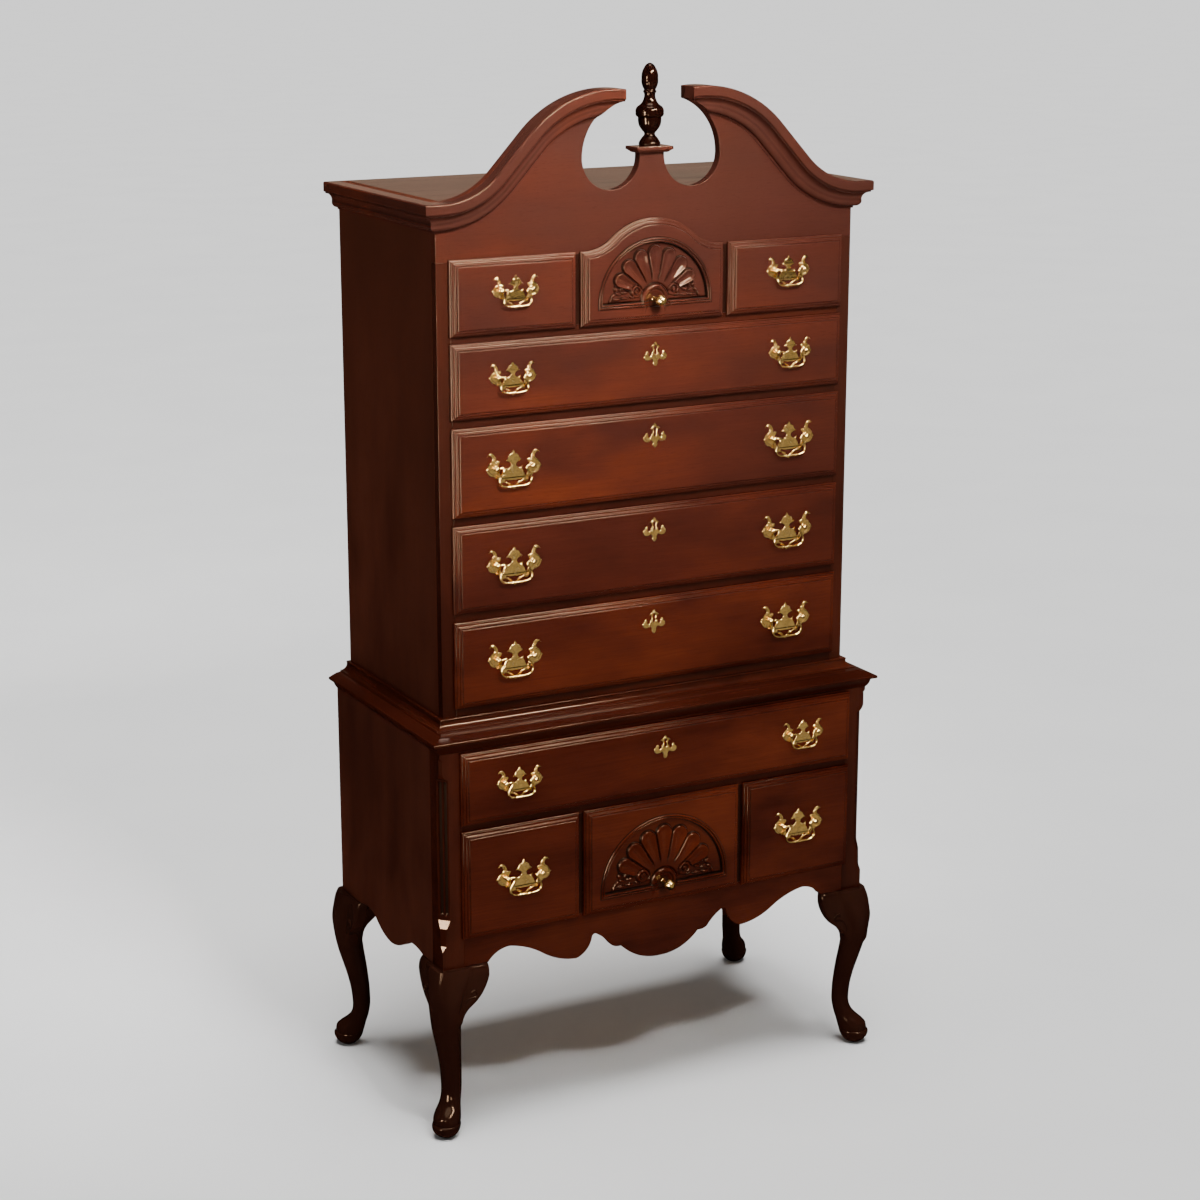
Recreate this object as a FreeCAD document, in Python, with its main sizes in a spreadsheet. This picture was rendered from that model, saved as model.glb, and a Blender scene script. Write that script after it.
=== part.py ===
import FreeCAD, Part
import math
import os

# A highboy: a tall chest of drawers with a broken-scroll pediment, standing on a wider
# lower case with cabriole legs.  Millimetres, +Z up, front faces -Y, floor at Z = 0.
# The origin is the middle of the bottom of the bounding box.

doc = FreeCAD.newDocument("highboy")
sheet = doc.addObject("Spreadsheet::Sheet", "Sizes")

SIZES = {
    # the two cases
    "lower_width": 977, "lower_depth": 511, "upper_inset": 31.5, "upper_setback": 50,
    "leg_height": 355, "side_thickness": 19, "frame_thickness": 20, "board_thickness": 19,
    "back_thickness": 6, "back_inset": 4, "runner_width": 60, "corner_post": 46.5,
    # heights of the drawer rows and what shows between them
    "tall_drawer": 173, "low_drawer": 145, "top_drawer": 145, "rail_reveal": 16,
    "top_reveal": 13, "lower_wide_drawer": 147, "lower_small_drawer": 222.5,
    "lower_reveal": 12.5, "apron_depth": 60, "lower_head": 34, "waist_collar": 30,
    "frieze": 106,
    # bare case beside the wide drawers, and the middle drawers from the middle of the case
    "upper_stile": 24, "lower_stile": 41.5, "upper_centre_half": 157.5,
    "lower_centre_half": 179, "centre_gap": 10.5,
    # drawer fronts
    "lip_overlap": 5, "lip_edge": 5.5, "lip_gap": 0.3, "field_proud": 17, "band_width": 16,
    "tongue_depth": 6, "side_clearance": 1, "arch_rise": 56.5, "arch_radius": 135,
    # drawer boxes
    "box_thickness": 12, "bottom_thickness": 6, "bottom_raise": 9, "groove_depth": 5,
    "ride_gap": 0.3, "box_head_room": 8, "rear_space": 22,
    # crown moulding and pediment
    "crown_height": 55.5, "crown_out": 32, "crest_rise": 197.5, "eye_radius": 62.2, "eye_rise": 68,
    "neck_half": 26.5, "neck_rise": 5, "scroll_end": 73.5, "scroll_end_height": 25,
    "plinth_width": 78, "plinth_depth": 49, "plinth_height": 12, "finial_height": 156,
    "finial_radius": 27.5,
    # waist moulding
    "waist_overhang": 18.3, "waist_bed": 26, "cove_strip_width": 23,
    # apron, knees and legs
    "wing_reach": 99, "lobe_depth": 31, "drop_depth": 61.5, "chamfer": 18, "flute_radius": 3.2,
    "chamfer_start": 42, "chamfer_stop": 32, "flute_stop": 30,
    "side_lobe_depth": 30, "knee_proud": 6, "wing_depth": 88, "wing_thickness": 30,
    "ankle_radius": 18, "pad_radius": 30, "knee_reach": 22, "ankle_set": 37.7,
    # brasses
    "large_boring": 76, "small_boring": 64, "plate_thickness": 1.6, "post_reach": 8,
    "post_radius": 2.5, "post_head": 4.5, "post_fit": 0.2, "pin_radius": 1.5, "pin_fit": 0.05,
    "bail_radius": 2.2, "nut_radius": 6, "nut_height": 4, "upper_pull_inset": 124.5,
    "lower_pull_inset": 121.5, "pull_rise": 6.5, "top_pull_rise": 12, "escutcheon_drop": 48,
    "knob_radius": 10.5, "knob_neck": 12, "knob_rise": 45, "rose_radius": 9,
    # carved shells
    "upper_shell_half": 124.5, "upper_shell_height": 132, "lower_shell_half": 146,
    "lower_shell_height": 156, "shell_rise": 32, "shell_frame": 9, "shell_sink": 6,
}


class Size:
    """A length with both its number and its expression in the spreadsheet."""

    def __init__(self, number, text):
        self.number = number
        self.text = text

    @staticmethod
    def of(value):
        return value if isinstance(value, Size) else Size(float(value), repr(float(value)))

    def joined(self, sign, other, number):
        return Size(number, "(" + self.text + " " + sign + " " + other.text + ")")

    def __add__(self, other):
        other = Size.of(other)
        return self.joined("+", other, self.number + other.number)

    def __sub__(self, other):
        other = Size.of(other)
        return self.joined("-", other, self.number - other.number)

    def __mul__(self, other):
        other = Size.of(other)
        return self.joined("*", other, self.number * other.number)

    def __truediv__(self, other):
        other = Size.of(other)
        return self.joined("/", other, self.number / other.number)

    def __radd__(self, other):
        return Size.of(other) + self

    def __rsub__(self, other):
        return Size.of(other) - self

    def __rmul__(self, other):
        return Size.of(other) * self

    def __neg__(self):
        return Size.of(0) - self

    def __float__(self):
        return self.number


class Sizes:
    """Every driving size by name."""


for row, (alias, value) in enumerate(SIZES.items(), start=1):
    sheet.set("A%d" % row, alias)
    sheet.set("B%d" % row, str(value))
    sheet.setAlias("B%d" % row, alias)
doc.recompute()
S = Sizes()
for alias in SIZES:
    setattr(S, alias, Size(float(getattr(sheet, alias)), "Sizes." + alias))

NODES = {}          # node name -> document object
VECTOR = FreeCAD.Vector
FRONT = VECTOR(0, -1, 0)


# ---------------------------------------------------------------- building blocks

def bind(thing, **sizes):
    for name, size in sizes.items():
        thing.setExpression(name.replace("__", "."), Size.of(size).text)
    return thing


def put(thing, x, y, z):
    return bind(thing, Placement__Base__x=x, Placement__Base__y=y, Placement__Base__z=z)


def block(x, y, z):
    """A box between two X, two Y and two Z values."""
    box = doc.addObject("Part::Box", "Block")
    bind(box, Length=Size.of(x[1]) - x[0], Width=Size.of(y[1]) - y[0], Height=Size.of(z[1]) - z[0])
    return put(box, x[0], y[0], z[0])


def rod(radius, length, start, direction):
    """A cylinder of a length along a direction from a start point."""
    cylinder = doc.addObject("Part::Cylinder", "Rod")
    bind(cylinder, Radius=radius, Height=length)
    turn = FreeCAD.Rotation(VECTOR(0, 0, 1), VECTOR(*direction))
    cylinder.Placement = FreeCAD.Placement(VECTOR(), turn)
    return put(cylinder, *start)


def ball(radius, centre):
    sphere = doc.addObject("Part::Sphere", "Ball")
    bind(sphere, Radius=radius)
    return put(sphere, *centre)


def drawn(shape):
    """A drawn wire or face that a feature below uses."""
    profile = doc.addObject("Part::Feature", "Profile")
    profile.Shape = shape
    return profile


def pushed(face, length, direction):
    """A face pushed straight into a solid."""
    push = doc.addObject("Part::Extrusion", "Push")
    push.Base = drawn(face)
    push.DirMode = "Custom"
    push.Dir = VECTOR(*direction)
    push.Solid = True
    return bind(push, LengthFwd=length)


def swept(profile, spine):
    """A profile carried along a path, mitred at its corners."""
    path = drawn(spine)
    sweep = doc.addObject("Part::Sweep", "Sweep")
    sweep.Sections = [drawn(profile)]
    sweep.Spine = (path, ["Edge%d" % (k + 1) for k in range(len(spine.Edges))])
    sweep.Solid = True
    sweep.Transition = "Right corner"
    return sweep


def turned(profile, centre):
    """A profile in the X-Z plane turned about a vertical axis."""
    turn = doc.addObject("Part::Revolution", "Turning")
    turn.Source = drawn(profile)
    turn.Axis = VECTOR(0, 0, 1)
    turn.Base = VECTOR(0, 0, 0)
    turn.Angle = 360
    turn.Solid = True
    return put(turn, *centre)


def fused(parts):
    joint = doc.addObject("Part::MultiFuse", "Joined")
    joint.Shapes = parts
    joint.Refine = True
    return joint


def cut(base, tools):
    result = doc.addObject("Part::Cut", "Cut")
    result.Base = base
    result.Tool = tools[0] if len(tools) == 1 else fused(tools)
    result.Refine = True
    return result


def mirrored(source):
    """The same piece on the other side of the case."""
    twin = doc.addObject("Part::Mirroring", "Twin")
    twin.Source = source
    twin.Normal = VECTOR(1, 0, 0)
    twin.Base = VECTOR(0, 0, 0)
    return twin


def node(name, parts):
    """One sub-part: a single solid, or a group of solids that stay in place together."""
    if len(parts) == 1:
        piece = parts[0]
    else:
        piece = doc.addObject("Part::Compound", "Group")
        piece.Links = parts
    piece.Label = name
    NODES[name] = piece
    return piece


def lines(points):
    return Part.makePolygon([VECTOR(*p) for p in points])


def arcs_wire(start, steps, place):
    """A wire of lines (end) and three-point arcs (middle, end), placed by a function."""
    here = start
    edges = []
    for step in steps:
        if len(step) == 2:
            middle, end = step
            edges.append(Part.Arc(place(here), place(middle), place(end)).toShape())
        else:
            end = step[0]
            edges.append(Part.LineSegment(place(here), place(end)).toShape())
        here = end
    return Part.Wire(edges)


def rounded_path(points, radii):
    """Straight runs joined by tangent arcs, one radius for each inner point."""
    edges = []
    here = points[0]
    for k, radius in enumerate(radii, start=1):
        corner = points[k]
        before = (points[k - 1] - corner).normalize()
        after = (points[k + 1] - corner).normalize()
        half = before.getAngle(after) / 2
        reach = radius / math.tan(half)
        start = corner + before * reach
        end = corner + after * reach
        bisector = (before + after).normalize()
        middle = corner + bisector * (radius / math.sin(half) - radius)
        edges.append(Part.LineSegment(here, start).toShape())
        edges.append(Part.Arc(start, middle, end).toShape())
        here = end
    edges.append(Part.LineSegment(here, points[-1]).toShape())
    return Part.Wire(edges)


# ---------------------------------------------------------------- levels and planes

PAD_SPREAD, PAD_SET = 1.03, 0.2     # the foot's widest ring and how far it is set in, in pads
ARCH_TURN, CREST_TURN = 42, 47      # degrees that the arch and the scroll sweep through
CORNER_SHARE, CREST_SHARE = 163 / 457, 237 / 457    # the scroll's radii, in half widths
knob_reach = S.field_proud + S.knob_neck + S.knob_radius * 2
foot_reach = S.pad_radius * (PAD_SPREAD - PAD_SET * math.sqrt(0.5))
back = (S.lower_depth + knob_reach - foot_reach) / 2      # back plane of both cases
lower_face = back - S.lower_depth                          # front plane of the lower case
upper_face = lower_face + S.upper_setback                  # front plane of the upper case
upper_depth = S.lower_depth - S.upper_setback

small_bottom = S.leg_height + S.apron_depth
small_top = small_bottom + S.lower_small_drawer
wide_bottom = small_top + S.lower_reveal
wide_top = wide_bottom + S.lower_wide_drawer
lower_top = wide_top - S.lip_overlap + S.lower_head
waist_top = lower_top + S.waist_collar

row_bottom = {5: waist_top + S.rail_reveal}
row_top = {5: row_bottom[5] + S.tall_drawer}
row_bottom[4] = row_top[5] + S.rail_reveal
row_top[4] = row_bottom[4] + S.tall_drawer
row_bottom[3] = row_top[4] + S.rail_reveal
row_top[3] = row_bottom[3] + S.tall_drawer
row_bottom[2] = row_top[3] + S.rail_reveal
row_top[2] = row_bottom[2] + S.low_drawer
row_bottom[1] = row_top[2] + S.top_reveal
row_top[1] = row_bottom[1] + S.top_drawer
crown_top = row_top[1] + S.frieze

lower_half = S.lower_width / 2
upper_half = lower_half - S.upper_inset
upper_front = upper_half - S.upper_stile                    # half widths of the wide drawers
lower_front = lower_half - S.lower_stile
upper_inside = upper_half - S.side_thickness
lower_inside = lower_half - S.side_thickness
upper_opening = upper_front - S.lip_overlap                 # half widths of their openings
lower_opening = lower_front - S.lip_overlap
panel_front = back - S.back_inset - S.back_thickness        # inside face of the back panels


# ---------------------------------------------------------------- drawers

def on_front(face_y):
    """Maps (x, z) on a front plane to space."""
    return lambda p: VECTOR(p[0], float(face_y), p[1])


def rectangle(x0, x1, z0, z1, face_y):
    x0, x1, z0, z1 = float(x0), float(x1), float(z0), float(z1)
    middle = (x0 + x1) / 2
    corners = [(middle, z0), (x1, z0), (x1, z1), (x0, z1), (x0, z0), (middle, z0)]
    return Part.Wire([Part.LineSegment(on_front(face_y)(a), on_front(face_y)(b)).toShape()
                      for a, b in zip(corners, corners[1:])])


def arched(half, z0, z1, inset, face_y):
    """A rectangle whose top sweeps up through two hollow curves to a round arch."""
    half, z0, z1 = float(half) - inset, float(z0) + inset, float(z1)
    turn = math.radians(ARCH_TURN)
    rise = float(S.arch_rise)
    crown = float(S.arch_radius)
    hollow = (rise - crown * (1 - math.cos(turn))) / (1 - math.cos(turn))
    top_z = z1 + rise
    centre_z = top_z - crown
    foot_x = (crown + hollow) * math.sin(turn)
    hollow_z = z1 + hollow
    crown_r = crown - inset
    hollow_r = hollow + inset
    join = (crown_r * math.sin(turn), centre_z + crown_r * math.cos(turn))
    near_join = (crown_r * math.sin(turn / 2), centre_z + crown_r * math.cos(turn / 2))
    near_foot = (foot_x - hollow_r * math.sin(turn / 2), hollow_z - hollow_r * math.cos(turn / 2))
    shoulder = z1 - inset
    place = on_front(face_y)

    def other(p):
        return (-p[0], p[1])

    steps = [((half, z0),), ((half, shoulder),)]
    foot = (foot_x, shoulder)
    if foot_x < half - 0.01:
        steps.append((foot,))
    else:
        reach = foot_x - half
        foot = (half, hollow_z - math.sqrt(hollow_r ** 2 - reach ** 2))
        steps[-1] = (foot,)
    peak = (0, top_z - inset)
    steps += [(near_foot, join), (near_join, peak), (other(near_join), other(join)),
              (other(near_foot), other(foot))]
    if foot_x < half - 0.01:
        steps.append(((-half, shoulder),))
    steps += [((-half, z0),), ((0, z0),)]
    return arcs_wire((0, z0), steps, place)


def band_profile(start, face_y):
    """The moulded edge: rounded lip, cove, bead, quirk and the riser to the flat field."""
    x0, z0 = start
    proud = float(S.field_proud)
    width = float(S.band_width)
    edge = float(S.lip_edge)
    rise = proud - edge

    def place(p):
        return VECTOR(x0, float(face_y) - p[1], z0 + p[0])

    steps = [((0, edge),),
             ((0.06 * width, edge + 0.20 * rise), (0.19 * width, edge + 0.27 * rise)),
             ((0.19 * width, edge + 0.36 * rise),),
             ((0.36 * width, edge + 0.42 * rise), (0.52 * width, edge + 0.60 * rise)),
             ((0.52 * width, edge + 0.68 * rise),),
             ((0.66 * width, edge + 0.84 * rise), (0.80 * width, edge + 0.84 * rise)),
             ((0.84 * width, proud),), ((width, proud),), ((width, 0),), ((0, 0),)]
    return arcs_wire((0, 0), steps, place)



def box_solids(x0, x1, z0, z1, face_y, depth):
    """Drawer sides, back and bottom behind the front, running on the case runners."""
    front_y = Size.of(face_y) + S.tongue_depth
    back_y = Size.of(face_y) + depth - S.rear_space
    left, right = x0 + S.side_clearance, x1 - S.side_clearance
    low, high = z0 + S.ride_gap, z1 - S.box_head_room
    thick = S.box_thickness
    floor_z = low + S.bottom_raise
    floor_box = (left + thick - S.groove_depth, right - thick + S.groove_depth)
    panel = (floor_box, (front_y, back_y), (floor_z, floor_z + S.bottom_thickness))
    sides = [cut(block(x, (front_y, back_y), (low, high)), [block(*panel)])
             for x in ((left, left + thick), (right - thick, right))]
    rear = block((left + thick, right - thick), (back_y - thick, back_y),
                 (floor_z + S.bottom_thickness, high))
    return sides + [rear, block(*panel)]


DRAWN_BORING = 76       # distance between the posts at which plates and handles are drawn


def plate_outline(boring):
    """Right half of the pierced willow plate, from its crown down to its bottom tip."""
    ratio = float(boring) / DRAWN_BORING
    points = [((0, 30),),
              ((4, 24.5), (10.5, 22)), ((12.6, 18), (17, 12.5)), ((11.5, 13.5), (7.5, 9)),
              ((5.2, 3), (9.5, -2.6)), ((13.5, -3), (16.5, 1.2)), ((20, -4), (18.5, -12)),
              ((18, -19), (24, -21.5)), ((29.5, -13), (30, -4)), ((31.5, 2.5), (37, 4.6)),
              ((41, 4.3), (44.5, 5.5)), ((40, 8.5), (33.5, 6.8)), ((29.5, 6), (28, 8.8)),
              ((31.2, 13), (36.8, 13.4)), ((36, 18), (38.8, 23)), ((46.5, 29), (55.4, 23.4)),
              ((50.5, 25.6), (45.6, 21.5)), ((44.3, 17.5), (46.4, 12.8)), ((54.5, 7), (57.4, -2)),
              ((52.5, -16), (38.5, -19.2)), ((33, -22), (30.5, -27.5)), ((26.6, -31), (22, -29.5)),
              ((15, -32), (9.5, -37)), ((5.5, -40.5), (0, -44.5))]
    return [tuple((x * ratio, z * ratio) for x, z in step) for step in points]


def plate_piercing(boring):
    """Right half of the opening between the shield and the plate's lower border."""
    ratio = float(boring) / DRAWN_BORING
    points = [((0, -26),), ((9, -26.3), (17, -24.3)), ((18.5, -26.5), (15.5, -28.5)),
              ((9.5, -30.5), (6, -33.5)), ((3.4, -36), (0, -38))]
    return [tuple((x * ratio, z * ratio) for x, z in step) for step in points]


def both_halves(points):
    """A closed outline from its right half, which starts and ends on the middle line."""
    start = points[0][0]
    steps = points[1:]
    ends = [start] + [step[-1] for step in steps]
    returning = []
    for k in range(len(steps) - 1, -1, -1):
        step = steps[k]
        back_to = (-ends[k][0], ends[k][1])
        if len(step) == 2:
            returning.append(((-step[0][0], step[0][1]), back_to))
        else:
            returning.append((back_to,))
    return start, list(steps) + returning


def plate(points, x, y, z, thickness):
    start, steps = both_halves(points)
    base = (float(x), float(y), float(z))

    def place(p):
        return VECTOR(base[0] + p[0], base[1], base[2] + p[1])

    return pushed(Part.Face(arcs_wire(start, steps, place)), thickness, FRONT)


def pull_parts(x, z, face_y, boring):
    """Plate, two posts with nuts, and the swinging bail of one pull."""
    field = Size.of(face_y) - S.lip_gap - S.field_proud
    plate_face = field - S.plate_thickness
    pivot = plate_face - S.post_reach
    inside = Size.of(face_y) + S.tongue_depth
    fixed, bolt_holes, plate_holes = [], [], []
    for side in (-1, 1):
        post_x = x + side * boring / 2
        length = inside + S.nut_height - pivot
        shank = rod(S.post_radius, length, (post_x, pivot, z), (0, 1, 0))
        nut = rod(S.nut_radius, S.nut_height, (post_x, inside, z), (0, 1, 0))
        head = ball(S.post_head, (post_x, pivot, z))
        reach = S.post_head * 2 + 2
        bore = rod(S.pin_radius + S.pin_fit, reach, (post_x - reach / 2, pivot, z), (1, 0, 0))
        fixed.append(cut(fused([shank, nut, head]), [bore]))
        hole = S.post_radius + S.post_fit
        through = S.field_proud + S.lip_gap + S.tongue_depth + 2
        bolt_holes.append(rod(hole, through, (post_x, field - 1, z), (0, 1, 0)))
        plate_holes.append(rod(hole, S.plate_thickness + 2, (post_x, plate_face - 1, z), (0, 1, 0)))
    back_plate = plate(plate_outline(boring), x, field, z, S.plate_thickness)
    piercing = plate(plate_piercing(boring), x, field + 1, z, S.plate_thickness + 2)
    fixed.append(cut(back_plate, plate_holes + [piercing]))
    return fixed, bolt_holes, bail(x, z, pivot, boring)


def bail(x, z, pivot, boring):
    """The swan-necked handle that hangs between the posts."""
    ratio = float(boring) / DRAWN_BORING
    shank_x = float(boring) / 2 - float(S.post_head) - 0.5

    def place(px, pz):
        return VECTOR(float(x) + px, float(pivot), float(z) + pz)

    neck, belly, grip = 25 * ratio, 34 * ratio, 24 * ratio
    corner = [(shank_x, 0), (neck, 0), (belly, -24 * ratio), (grip, -35 * ratio)]
    points = [place(-px, pz) for px, pz in corner] + [place(px, pz) for px, pz in reversed(corner)]
    radii = [3.8 * ratio, 8 * ratio, 9 * ratio, 9 * ratio, 8 * ratio, 3.8 * ratio]
    path = rounded_path(points, radii)
    circle = Part.Wire(Part.makeCircle(float(S.bail_radius), points[0], VECTOR(1, 0, 0)))
    grip_rod = swept(circle, path)
    pins = []
    for side in (-1, 1):
        length = S.post_head * 2
        first = x + side * (boring / 2 - 1) - length / 2
        pins.append(rod(S.pin_radius, length, (first, pivot, z), (1, 0, 0)))
    return fused([grip_rod] + pins)


def escutcheon(z, face_y):
    """A pierced keyhole plate of the same pattern as the pulls."""
    points = [((0, 24),), ((4, 21.5), (3, 18.5)), ((7.5, 17.5), (9, 14.5)), ((13, 12.5), (14.5, 9.5)),
              ((9.5, 10.5), (7, 7)), ((5.8, 0.5), (10, -3.5)), ((15, -4), (16.5, 2.5)),
              ((20.5, 4.5), (20.5, -1)), ((27, -5), (25.5, -11.5)), ((20, -16.5), (12.5, -12)),
              ((6, -14.5), (6.5, -19)), ((6, -23), (0, -26.5))]
    ratio = S.large_boring / DRAWN_BORING
    scaled = [tuple((x * float(ratio), up * float(ratio)) for x, up in step) for step in points]
    field = Size.of(face_y) - S.lip_gap - S.field_proud
    before = field - S.plate_thickness - 1
    eye = rod(ratio * 3.2, S.plate_thickness + 2, (0, before, z + ratio * 7), (0, 1, 0))
    slot = block((-ratio * 2, ratio * 2), (before, field + 1), (z - ratio * 6, z + ratio * 7))
    return cut(plate(scaled, 0, field, z, S.plate_thickness), [eye, slot])


def wide_drawer(name, half, z0, z1, face_y, depth, pull_x, boring, opening):
    """A full-width drawer with two pulls and an escutcheon."""
    middle = (z0 + z1) / 2 + S.pull_rise
    fixed, holes = [], []
    for side, label in ((-1, "left"), (1, "right")):
        posts, bolts, handle = pull_parts(side * pull_x, middle, face_y, boring)
        fixed += posts
        holes += bolts
        node(name + "_bail_" + label, [handle])
    inner = (z0 + S.lip_overlap, z1 - S.lip_overlap)
    node(name + "_front", [plain_front(-half, half, z0, z1, face_y, holes)])
    node(name + "_box", box_solids(-opening, opening, inner[0], inner[1], face_y, depth))
    node(name + "_hardware", fixed + [escutcheon(z1 - S.escutcheon_drop, face_y)])


def plain_front(x0, x1, z0, z1, face_y, holes):
    lip_back = Size.of(face_y) - S.lip_gap
    band = S.band_width
    step = S.lip_overlap + S.side_clearance
    outline = rectangle(x0, x1, z0, z1, lip_back)
    field = rectangle(x0 + band, x1 - band, z0 + band, z1 - band, lip_back)
    tongue = rectangle(x0 + step, x1 - step, z0 + step, z1 - step, lip_back - 1)
    start = ((float(x0) + float(x1)) / 2, float(z0))
    body = fused([swept(band_profile(start, lip_back), outline),
                  pushed(Part.Face(field), S.field_proud, FRONT),
                  pushed(Part.Face(tongue), S.tongue_depth + S.lip_gap + 1, (0, 1, 0))])
    return cut(body, holes) if holes else body


def arched_front(half, z0, z1, face_y):
    """The arched front: its moulded edge is a stack of plates, each inside the one before."""
    lip_back = Size.of(face_y) - S.lip_gap
    band, rise = float(S.band_width), float(S.field_proud - S.lip_edge)
    step = float(S.lip_overlap + S.side_clearance)
    levels = [(0, 0.1), (0.19, 0.36), (0.36, 0.5), (0.52, 0.68), (0.72, 0.84), (0.9, 1)]
    stack = [pushed(Part.Face(arched(half, z0, z1, inset * band, lip_back)),
                    S.lip_edge + level * rise, FRONT) for inset, level in levels]
    tongue = Part.Face(arched(half, z0, z1, step, lip_back - 1))
    return fused(stack + [pushed(tongue, S.tongue_depth + S.lip_gap + 1, (0, 1, 0))])


def small_drawer(name, side, inner, outer, z0, z1, face_y, depth, boring, rise):
    """A drawer beside the middle one, with a single pull."""
    x0, x1 = (inner, outer) if side > 0 else (-outer, -inner)
    posts, holes, handle = pull_parts((x0 + x1) / 2, (z0 + z1) / 2 + rise, face_y, boring)
    node(name + "_bail", [handle])
    node(name + "_front", [plain_front(x0, x1, z0, z1, face_y, holes)])
    over = S.lip_overlap
    node(name + "_box", box_solids(x0 + over, x1 - over, z0 + over, z1 - over, face_y, depth))
    node(name + "_hardware", posts)


def shell_outline(half, base_z, height, inset, y):
    """A half-round with a flat foot."""
    half, base_z, height, inset = float(half), float(base_z), float(height), float(inset)
    reach = half - inset
    top = base_z + height - inset
    foot = base_z + inset
    spring = top - reach if top - reach > foot + 0.5 else foot + 0.5
    place = on_front(y)
    slant = math.sqrt(0.5) * reach
    rise = top - spring
    steps = [((reach, foot),), ((reach, spring),),
             ((slant, spring + math.sqrt(0.5) * rise), (0, top)),
             ((-slant, spring + math.sqrt(0.5) * rise), (-reach, spring)),
             ((-reach, foot),), ((0, foot),)]
    return arcs_wire((0, foot), steps, place)


def shell_carving(half, height, base_z, face_y):
    """Cutter for the sunk half-round, and the raised frame, lobes and boss inside it."""
    field = Size.of(face_y) - S.lip_gap - S.field_proud
    sink = S.shell_sink
    frame = float(S.shell_frame)
    sunk = field + sink
    cutter = pushed(Part.Face(shell_outline(half, base_z, height, frame, sunk)), sink + 1, FRONT)
    ring = cut(pushed(Part.Face(shell_outline(half, base_z, height, 0, field)), 2, FRONT),
               [pushed(Part.Face(shell_outline(half, base_z, height, frame, field)), 2, FRONT)])
    lobes = []
    centre = (0.0, float(base_z) + frame + 4)
    long = float(height) - 2 * frame - 8
    for k in range(7):
        angle = math.radians(90 + (k - 3) * 24)
        reach = long * (0.94 + 0.06 * abs(math.sin(angle)))
        tip_radius = 0.17 * reach
        lobes.append(pushed(Part.Face(lobe(centre, angle, reach, tip_radius, sunk)), sink - 1, FRONT))
    boss = rod(18, sink + 1, (0, sunk, centre[1] - 2), FRONT)
    below = block((-25, 25), (field - 3, sunk + 1), (centre[1] - 30, Size.of(base_z) + frame))
    return cutter, [ring] + lobes + [cut(boss, [below])]


def lobe(centre, angle, reach, tip_radius, y):
    """One petal of the fan: narrow at the hub, round at its tip."""
    along = (math.cos(angle), math.sin(angle))
    across = (-along[1], along[0])
    root = 0.28 * reach
    body = reach - tip_radius

    def at(u, v):
        return (centre[0] + along[0] * u + across[0] * v, centre[1] + along[1] * u + across[1] * v)

    steps = [((at(body, tip_radius)),), (at(reach, 0), at(body, -tip_radius)),
             ((at(root, -0.28 * tip_radius)),), ((at(root, 0.28 * tip_radius)),)]
    return arcs_wire(at(root, 0.28 * tip_radius), steps, on_front(y))


def shell_drawer(name, half, z0, z1, face_y, depth, shell_half, shell_height, arch):
    """A middle drawer with a carved shell and a knob."""
    hole_length = S.field_proud + S.lip_gap + S.tongue_depth + 4
    knob_z = z0 + S.knob_rise
    field = Size.of(face_y) - S.lip_gap - S.field_proud
    hole = rod(S.post_radius + S.post_fit, hole_length, (0, field - 3, knob_z), (0, 1, 0))
    if arch:
        front = arched_front(half, z0, z1, face_y)
    else:
        front = plain_front(-half, half, z0, z1, face_y, [])
    cutter, relief = shell_carving(shell_half, shell_height, z0 + S.shell_rise, face_y)
    rose_seat = rod(S.rose_radius + S.post_fit, S.shell_sink + 4, (0, field - 4, knob_z), (0, 1, 0))
    carved = fused([cut(front, [cutter])] + relief)
    node(name + "_front", [cut(carved, [hole, rose_seat])])
    over = S.lip_overlap
    opening = half - over
    node(name + "_box", box_solids(-opening, opening, z0 + over, z1 - over, face_y, depth))
    node(name + "_knob", [sunk_knob(knob_z, face_y)])


def sunk_knob(z, face_y):
    """The knob stands on the floor of its seat in the carving."""
    seat = Size.of(face_y) - S.lip_gap - S.field_proud + S.shell_sink
    reach = S.knob_neck + S.shell_sink + S.knob_radius
    neck = rod(S.knob_radius * 0.45, reach, (0, seat, z), FRONT)
    rose = rod(S.rose_radius, 2.5, (0, seat, z), FRONT)
    head = ball(S.knob_radius, (0, seat - reach + S.lip_gap, z))
    length = S.field_proud - S.shell_sink + S.lip_gap + S.tongue_depth
    screw = rod(S.post_radius, length, (0, seat, z), (0, 1, 0))
    return fused([neck, rose, head, screw])


def make_drawers():
    upper_inner = S.upper_centre_half + S.centre_gap
    lower_inner = S.lower_centre_half + S.centre_gap
    for name, side in (("upper_left", -1), ("upper_right", 1)):
        small_drawer(name, side, upper_inner, upper_front, row_bottom[1], row_top[1],
                     upper_face, upper_depth, S.small_boring, S.top_pull_rise)
    shell_drawer("upper_shell", S.upper_centre_half, row_bottom[1], row_top[1], upper_face,
                 upper_depth, S.upper_shell_half, S.upper_shell_height, True)
    for row in (2, 3, 4, 5):
        boring = S.small_boring if row == 2 else S.large_boring
        wide_drawer("upper_row%d" % row, upper_front, row_bottom[row], row_top[row],
                    upper_face, upper_depth, upper_front - S.upper_pull_inset, boring, upper_opening)
    wide_drawer("lower_wide", lower_front, wide_bottom, wide_top, lower_face,
                S.lower_depth, lower_front - S.lower_pull_inset, S.small_boring, lower_opening)
    for name, side in (("lower_left", -1), ("lower_right", 1)):
        small_drawer(name, side, lower_inner, lower_front, small_bottom, small_top,
                     lower_face, S.lower_depth, S.large_boring, S.pull_rise)
    shell_drawer("lower_shell", S.lower_centre_half, small_bottom, small_top, lower_face,
                 S.lower_depth, S.lower_shell_half, S.lower_shell_height, False)


# ---------------------------------------------------------------- upper case

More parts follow.
